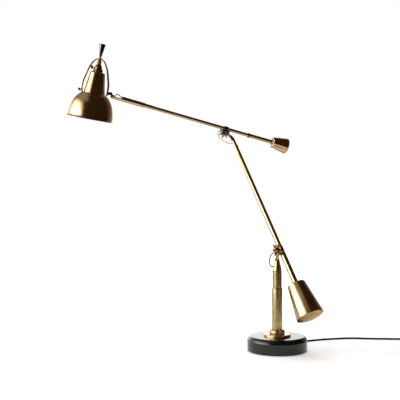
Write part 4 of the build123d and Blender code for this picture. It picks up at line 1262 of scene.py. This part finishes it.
@dataclass
class HeadAssembly:
    """The shade, its bail, the lampholder with its bulb, and the handle.

    Attributes:
        wall: the bell's thickness, in millimetres, as all lengths here.
        shoulder: the height of the bell's top over its rim.
        bail: the bail's middle from a foot to its top, out from the shade's axis and up.
        bail_steps: how many runs each stretch of the bail is cut into.
    """

    wall: float = 0.9
    shoulder: float = 64.4
    bail: Sequence[tuple[float, float]] = (
        (34.0, 65.6), (34.0, 74.0), (33.2, 92.0), (29.6, 107.0), (24.6, 126.0), (17.0, 142.0),
        (10.5, 150.5), (4.5, 153.3), (0.0, 153.5))
    bail_steps: int = 8

    def bell_outline(self) -> Outline:
        """The bell's two faces, joined round its rolled rim."""
        outer: Outline = []
        for first, middle, last in (((63.0, 0.4), (60.8, 1.8), (59.1, 4.4)),
                                    ((59.1, 4.4), (57.3, 21.5), (53.3, 37.5)),
                                    ((53.3, 37.5), (48.6, 47.7), (41.5, 56.6)),
                                    ((41.5, 56.6), (37.2, 61.0), (31.0, self.shoulder))):
            outer += arc_points(first, middle, last, 12)[:-1]
        outer += [(31.0, self.shoulder), (29.5, self.shoulder + 0.02), (28.0, self.shoulder)]
        inner: Outline = []
        for index, point in enumerate(outer):
            before, after = outer[max(index - 1, 0)], outer[min(index + 1, len(outer) - 1)]
            run = (Vector(after) - Vector(before)).normalized()
            inner.append((point[0] - run.y * self.wall, point[1] + run.x * self.wall))
        lip = arc_points(inner[0], (62.9, -0.35), outer[0], 6)[1:-1]
        return outer + inner[::-1] + lip

    def neck_outline(self) -> Outline:
        """The neck's two faces and its foot flange."""
        outline: Outline = [(7.1, 119.6), (7.1, 120.5)]
        outline += arc_points((15.4, 120.5), (18.5, 119.1), (20.0, 116.0), 10)
        outline += [(27.9, 66.3), (28.05, 65.6)]
        outline += arc_points((28.3, 65.35), (28.6, 64.95), (28.4, 64.5), 4)
        outline += [(27.2, 64.45)]
        outline += arc_points((19.1, 116.0), (17.85, 118.4), (15.4, 119.6), 10)
        return outline

    def bail_route(self, shade: Turning) -> list[Vector]:
        """Points along the middle of the bail, foot to foot."""
        half: list[Vector] = []
        top, beside = self.bail[-1], self.bail[-2]
        ends = [self.bail[0], *self.bail, (-beside[0], beside[1])]
        for four in zip(ends, ends[1:], ends[2:], ends[3:]):
            for step in range(self.bail_steps):
                t = step / self.bail_steps
                half.append(Vector([0.5 * (2 * q + (r - p) * t + (2 * p - 5 * q + 4 * r - s) * t * t
                                           + (3 * q - p - 3 * r + s) * t ** 3)
                                    for p, q, r, s in zip(*four)]))
        whole = half + [Vector(top)] + [Vector((-p.x, p.y)) for p in reversed(half)]
        return [shade.at(p.x, p.y) for p in whole]

    def build_shell(self, shop: Workshop, shade: Turning) -> None:
        """Makes the bell, the neck and the bail."""
        paint = shop.finishes
        brass = paint.shade_brass
        shop.turn("bell", shade, self.bell_outline(), 256, "head", brass, "shade_bell")
        shop.turn("bell_neck", shade, self.neck_outline(), 160, "head", brass, "shade_neck")
        side = shop.axes.tilt_hinge().axis
        shop.fit(Strap().along("bail_strap", self.bail_route(shade), side), "head", brass, "bail")
        shop.dress(brass, "crown_ears", "pivot_lug")
        shop.dress(paint.nickel, "bail_screws")
        shop.dress(paint.steel, "tilt_nut")
        screw = Turning(shade.at(0, 69.2), shade.radial, shade.axis)
        shop.fit(shop.knurls.ring("bail_screw_knurl", screw, 3.2, -42.8, -35.8, 26, paint.nickel,
                                  0.18), "head", None, like="bail_screws")

    def build_holder(self, shop: Workshop, shade: Turning) -> None:
        """Makes the lampholder, the bulb, the switch and the handle."""
        paint = shop.finishes
        ring = tube_outline(12.3, 7.2, 120.55, 127.5, 0.9)
        shop.turn("holder_ring", shade, ring, 96, "head", paint.dark_brass, "lampholder_ring")
        shop.fit(shop.knurls.ring("holder_ring_knurl", shade, 12.25, 121.7, 126.4, 72,
                                  paint.dark_brass, 0.3), "head", None, like="lampholder_ring")
        cap = [(0, 127.55)] + softened([(10.6, 127.55), (10.6, 131.5), (9.2, 132.3), (8.4, 136.0),
                                        (6.2, 139.0), (5.4, 140.0), (5.4, 147.5), (4.2, 148.6),
                                        (4.2, 152.4)], 0.5) + [(2.1, 152.4), (2.1, 146.0),
                                                               (0, 146.0)]
        shop.turn("holder_cap", shade, cap, 96, "head", paint.dark_brass, "lampholder_cap")
        for index, height in enumerate((142.0, 144.6)):
            band = arc_points((5.35, height - 0.7), (5.9, height), (5.35, height + 0.7), 6)
            shop.turn(f"holder_bead_{index + 1}", shade, band + [(5.2, height)], 64, "head",
                      paint.gilt, like="lampholder_cap")
        shop.dress(paint.clay, "lampholder_body")
        shop.dress(paint.nickel, "bulb_cap")
        glass = [(0, 69.95)] + arc_points((0, 20.0), (22.0, 42.0), (18.6, 53.75), 40)
        glass += arc_points((18.6, 53.75), (14.7, 61.4), (13.3, 69.95), 12)[1:]
        shop.turn("bulb", shade, glass, 96, "head", paint.opal, "bulb_glass")
        shop.dress(paint.gilt, "switch_key")
        ferrule = softened([(3.9, 154.55), (4.1, 156.2), (3.2, 158.5)], 0.6)
        shop.turn("grip_ferrule", shade, [(0, 154.55), *ferrule, (0, 158.5)], 64,
                  "head", paint.foot_brass, "handle_ferrule")
        grip = softened([(0, 158.55), (3.0, 158.55), (8.4, 190.8), (7.4, 192.0), (0, 192.0)], 0.8)
        shop.turn("grip", shade, grip, 96, "head", paint.handle_lacquer, "handle")

    def build(self, shop: Workshop) -> None:
        """Makes every piece of the head."""
        shade = shop.axes.shade()
        self.build_shell(shop, shade)
        self.build_holder(shop, shade)


# ------------------------------------------------------------------ studio --
@dataclass
class Studio:
    """The camera, the pale floor and the soft light.

    Attributes:
        eye: where the camera stands, in metres.
        lens: its focal length, in millimetres.
        floor_radius: the floor's radius, in metres.
        pale: the floor's colour.
        far_floor: its colour beyond the table, where the camera does not see it straight.
        glow: how brightly the table is seen to shine near the lamp.
        room: colour of the dark room.
        surround: strength of the white wall behind the lamp.
        right_side: the part of it that is left on the right.
        above: the part of it that is left overhead.
        skylight: colour of the light from above on the left.
        window: strength of the window that polished metal shows.
    """

    eye: tuple[float, float, float] = (-0.196, -2.0, 0.383)
    lens: float = 70.87
    floor_radius: float = 6.0
    pale: Colour = (0.86, 0.86, 0.87)
    far_floor: Colour = (0.03, 0.02, 0.012)
    glow: float = 0.45
    room: Colour = (0.046, 0.025, 0.010)
    surround: float = 2.3
    right_side: float = 0.14
    above: float = 0.25
    skylight: Colour = (0.5, 0.46, 0.4)
    window: float = 7.0

    def camera(self) -> None:
        """Stands the camera level, square to the lamp."""
        data = bpy.data.cameras.new("photo_camera")
        data.lens = self.lens
        data.sensor_width = 36.0
        camera = linked("photo_camera", data)
        camera.location = self.eye
        camera.rotation_euler = (math.radians(90), 0, 0)
        bpy.context.scene.camera = camera

    def floor(self) -> None:
        """Lays the white floor; polished metal shows its middle, as white as it is seen."""
        shape = bmesh.new()
        bmesh.ops.create_circle(shape, cap_ends=True, segments=96, radius=self.floor_radius)
        piece = finished_object("studio_floor", shape)
        bench = NodeBench(bpy.data.materials.new("studio_floor"))
        away = bench.node("VectorMath", {0: bench.object_place()},
                          operation="LENGTH").outputs["Value"]
        path = bench.node("LightPath").outputs
        seen = path["Is Camera Ray"]
        table = bench.spread(away, 0.4, 1.15, 1.0, 0.0)
        mirrored = [bench.maths("MULTIPLY", path[kind], table)
                    for kind in ("Is Glossy Ray", "Is Transmission Ray")]
        shown = bench.maths("MAXIMUM", seen, *mirrored)
        kept = bench.maths("MAXIMUM", seen, table)
        diffuse = bench.node("BsdfDiffuse",
                             {"Color": bench.blend(kept, self.far_floor, self.pale)})
        power = bench.maths("MULTIPLY", shown, bench.spread(away, 0.5, 1.1, self.glow, 1.0))
        glow = bench.node("Emission", {"Strength": power})
        both = bench.node("AddShader", {0: diffuse.outputs[0], 1: glow.outputs[0]})
        bench.join(both.outputs[0], bench.output)
        piece.data.materials.append(bench.owner)

    def world(self) -> None:
        """White behind the lamp, a dim room in front, a window on its left and a skylight."""
        world = bpy.data.worlds.new("studio")
        bpy.context.scene.world = world
        bench = NodeBench(world, "World")
        place = bench.node("TexCoord").outputs["Generated"]
        split = bench.node("SeparateXYZ", {0: place})
        across, depth, height = (split.outputs[axis] for axis in "XYZ")
        path = bench.node("LightPath").outputs

        def ramps(*rows: tuple[Socket, ...]) -> list[Socket]:
            """Smooth ramps, each from a value, its range and the range that it maps onto."""
            return [bench.spread(*row, ramp="SMOOTHSTEP") for row in rows]

        back = bench.maths("MULTIPLY", *ramps((depth, 0.15, 0.95),
                                              (across, -0.1, 0.6, 1.0, self.right_side),
                                              (height, 0.25, 0.7, 1.0, self.above)))
        window = bench.maths("MULTIPLY", *ramps((across, -0.42, -0.9), (depth, 0.6, -0.15),
                                                (height, 0.85, 0.3)), path["Is Glossy Ray"])
        sky = bench.maths("MULTIPLY", *ramps((height, 0.55, 0.9), (across, 0.05, -0.35)))
        light = bench.blend(sky, self.room, self.skylight)
        light = bench.blend(back, light, (self.surround,) * 3)
        light = bench.blend(window, light, tuple(self.window * part for part in (1, 0.98, 0.95)))
        lit = bench.node("Background", {"Color": light})
        plain = bench.node("Background", {"Color": (1.0, 1.0, 1.0, 1.0)})
        choice = bench.node("MixShader", {0: path["Is Camera Ray"], 1: lit.outputs[0],
                                          2: plain.outputs[0]})
        bench.join(choice.outputs[0], bench.output)

    def lamp(self, name: str, place: Sequence[float], target: Sequence[float],
             size: tuple[float, float], power: float, colour: Colour) -> None:
        """Hangs one soft rectangular lamp that faces a target, unseen in polished metal.

        Args:
            name: the lamp's name.
            place: where it hangs, in metres.
            target: the point it faces.
            size: its width and height.
            power: its power in watts.
            colour: its colour.
        """
        data = bpy.data.lights.new(name, "AREA")
        data.shape = "RECTANGLE"
        data.size, data.size_y = size
        data.energy = power
        data.color = colour
        made = linked(name, data)
        made.location = place
        made.visible_glossy = False
        aim = Vector(target) - Vector(place)
        made.rotation_euler = aim.to_track_quat("-Z", "Y").to_euler()

    def build(self) -> None:
        """Sets the whole studio up."""
        bpy.context.scene.view_settings.view_transform = "Standard"
        self.camera()
        self.floor()
        self.world()
        self.lamp("window_left", (-2.5, -0.2, 0.72), (-0.1, -0.1, 0.42), (1.8, 1.35), 52.0,
                  (1.0, 0.99, 0.97))
        self.lamp("ceiling", (0.0, 0.6, 2.6), (0.0, 0.0, 0.3), (2.4, 1.6), 26.0, (1.0, 1.0, 1.0))


def assemblies(axes: LampAxes, paint: Finishes) -> list[Assembly]:
    """Every assembly of the lamp, with its sizes in millimetres.

    Args:
        axes: the lines of the lamp's joints.
        paint: its finishes.

    Returns:
        The assemblies, in the order in which they are built.
    """
    lower_arm = WeightedArm(
        "lower", axes.lower_arm(), paint.lower_brass, paint.lower_weight_brass,
        "lower_arm_sleeve", far=187.0, weight=(23.4, 35.2, 89.0), dome=9.0,
        tube=(6.2, -322.0, 30.0), sleeve=(7.2, -12.0, 179.0), bore=4.6, screw=-224.0)
    upper_arm = WeightedArm(
        "upper", axes.upper_arm(), paint.upper_brass, paint.upper_weight_brass, "rear_sleeve",
        far=188.0, weight=(14.5, 21.5, 44.0), dome=5.2, tube=(4.8, -292.5, 176.0),
        sleeve=(5.5, 71.0, 180.0), bore=3.4, ring=True)
    lower_nut = WingNut("lower", axes.lower_hinge(), seat=1.25, hub=6.5, height=9.0, span=15.0,
                        bore=3.05, lean=103.0)
    upper_nut = WingNut("upper", axes.upper_hinge(), seat=15.3, hub=5.6, height=7.0, span=13.0,
                        bore=2.55, lean=12.0)
    return [CordAssembly(), BaseAssembly(), ColumnHead(), lower_arm, upper_arm, SwanNeck(),
            lower_nut, upper_nut, HeadSleeve(), HeadAssembly()]


def main() -> None:
    """Loads the frame and builds the lamp on it, piece by piece."""
    logging.basicConfig(level=logging.INFO, format="%(name)s: %(message)s")
    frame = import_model()
    axes = LampAxes()
    Studio().build()
    shop = Workshop(axes, Finishes(axes), frame, KnurlTree())
    for assembly in assemblies(axes, shop.finishes):
        assembly.build(shop)
        LOG.info("%s done", type(assembly).__name__)


if __name__ == "__main__":
    main()
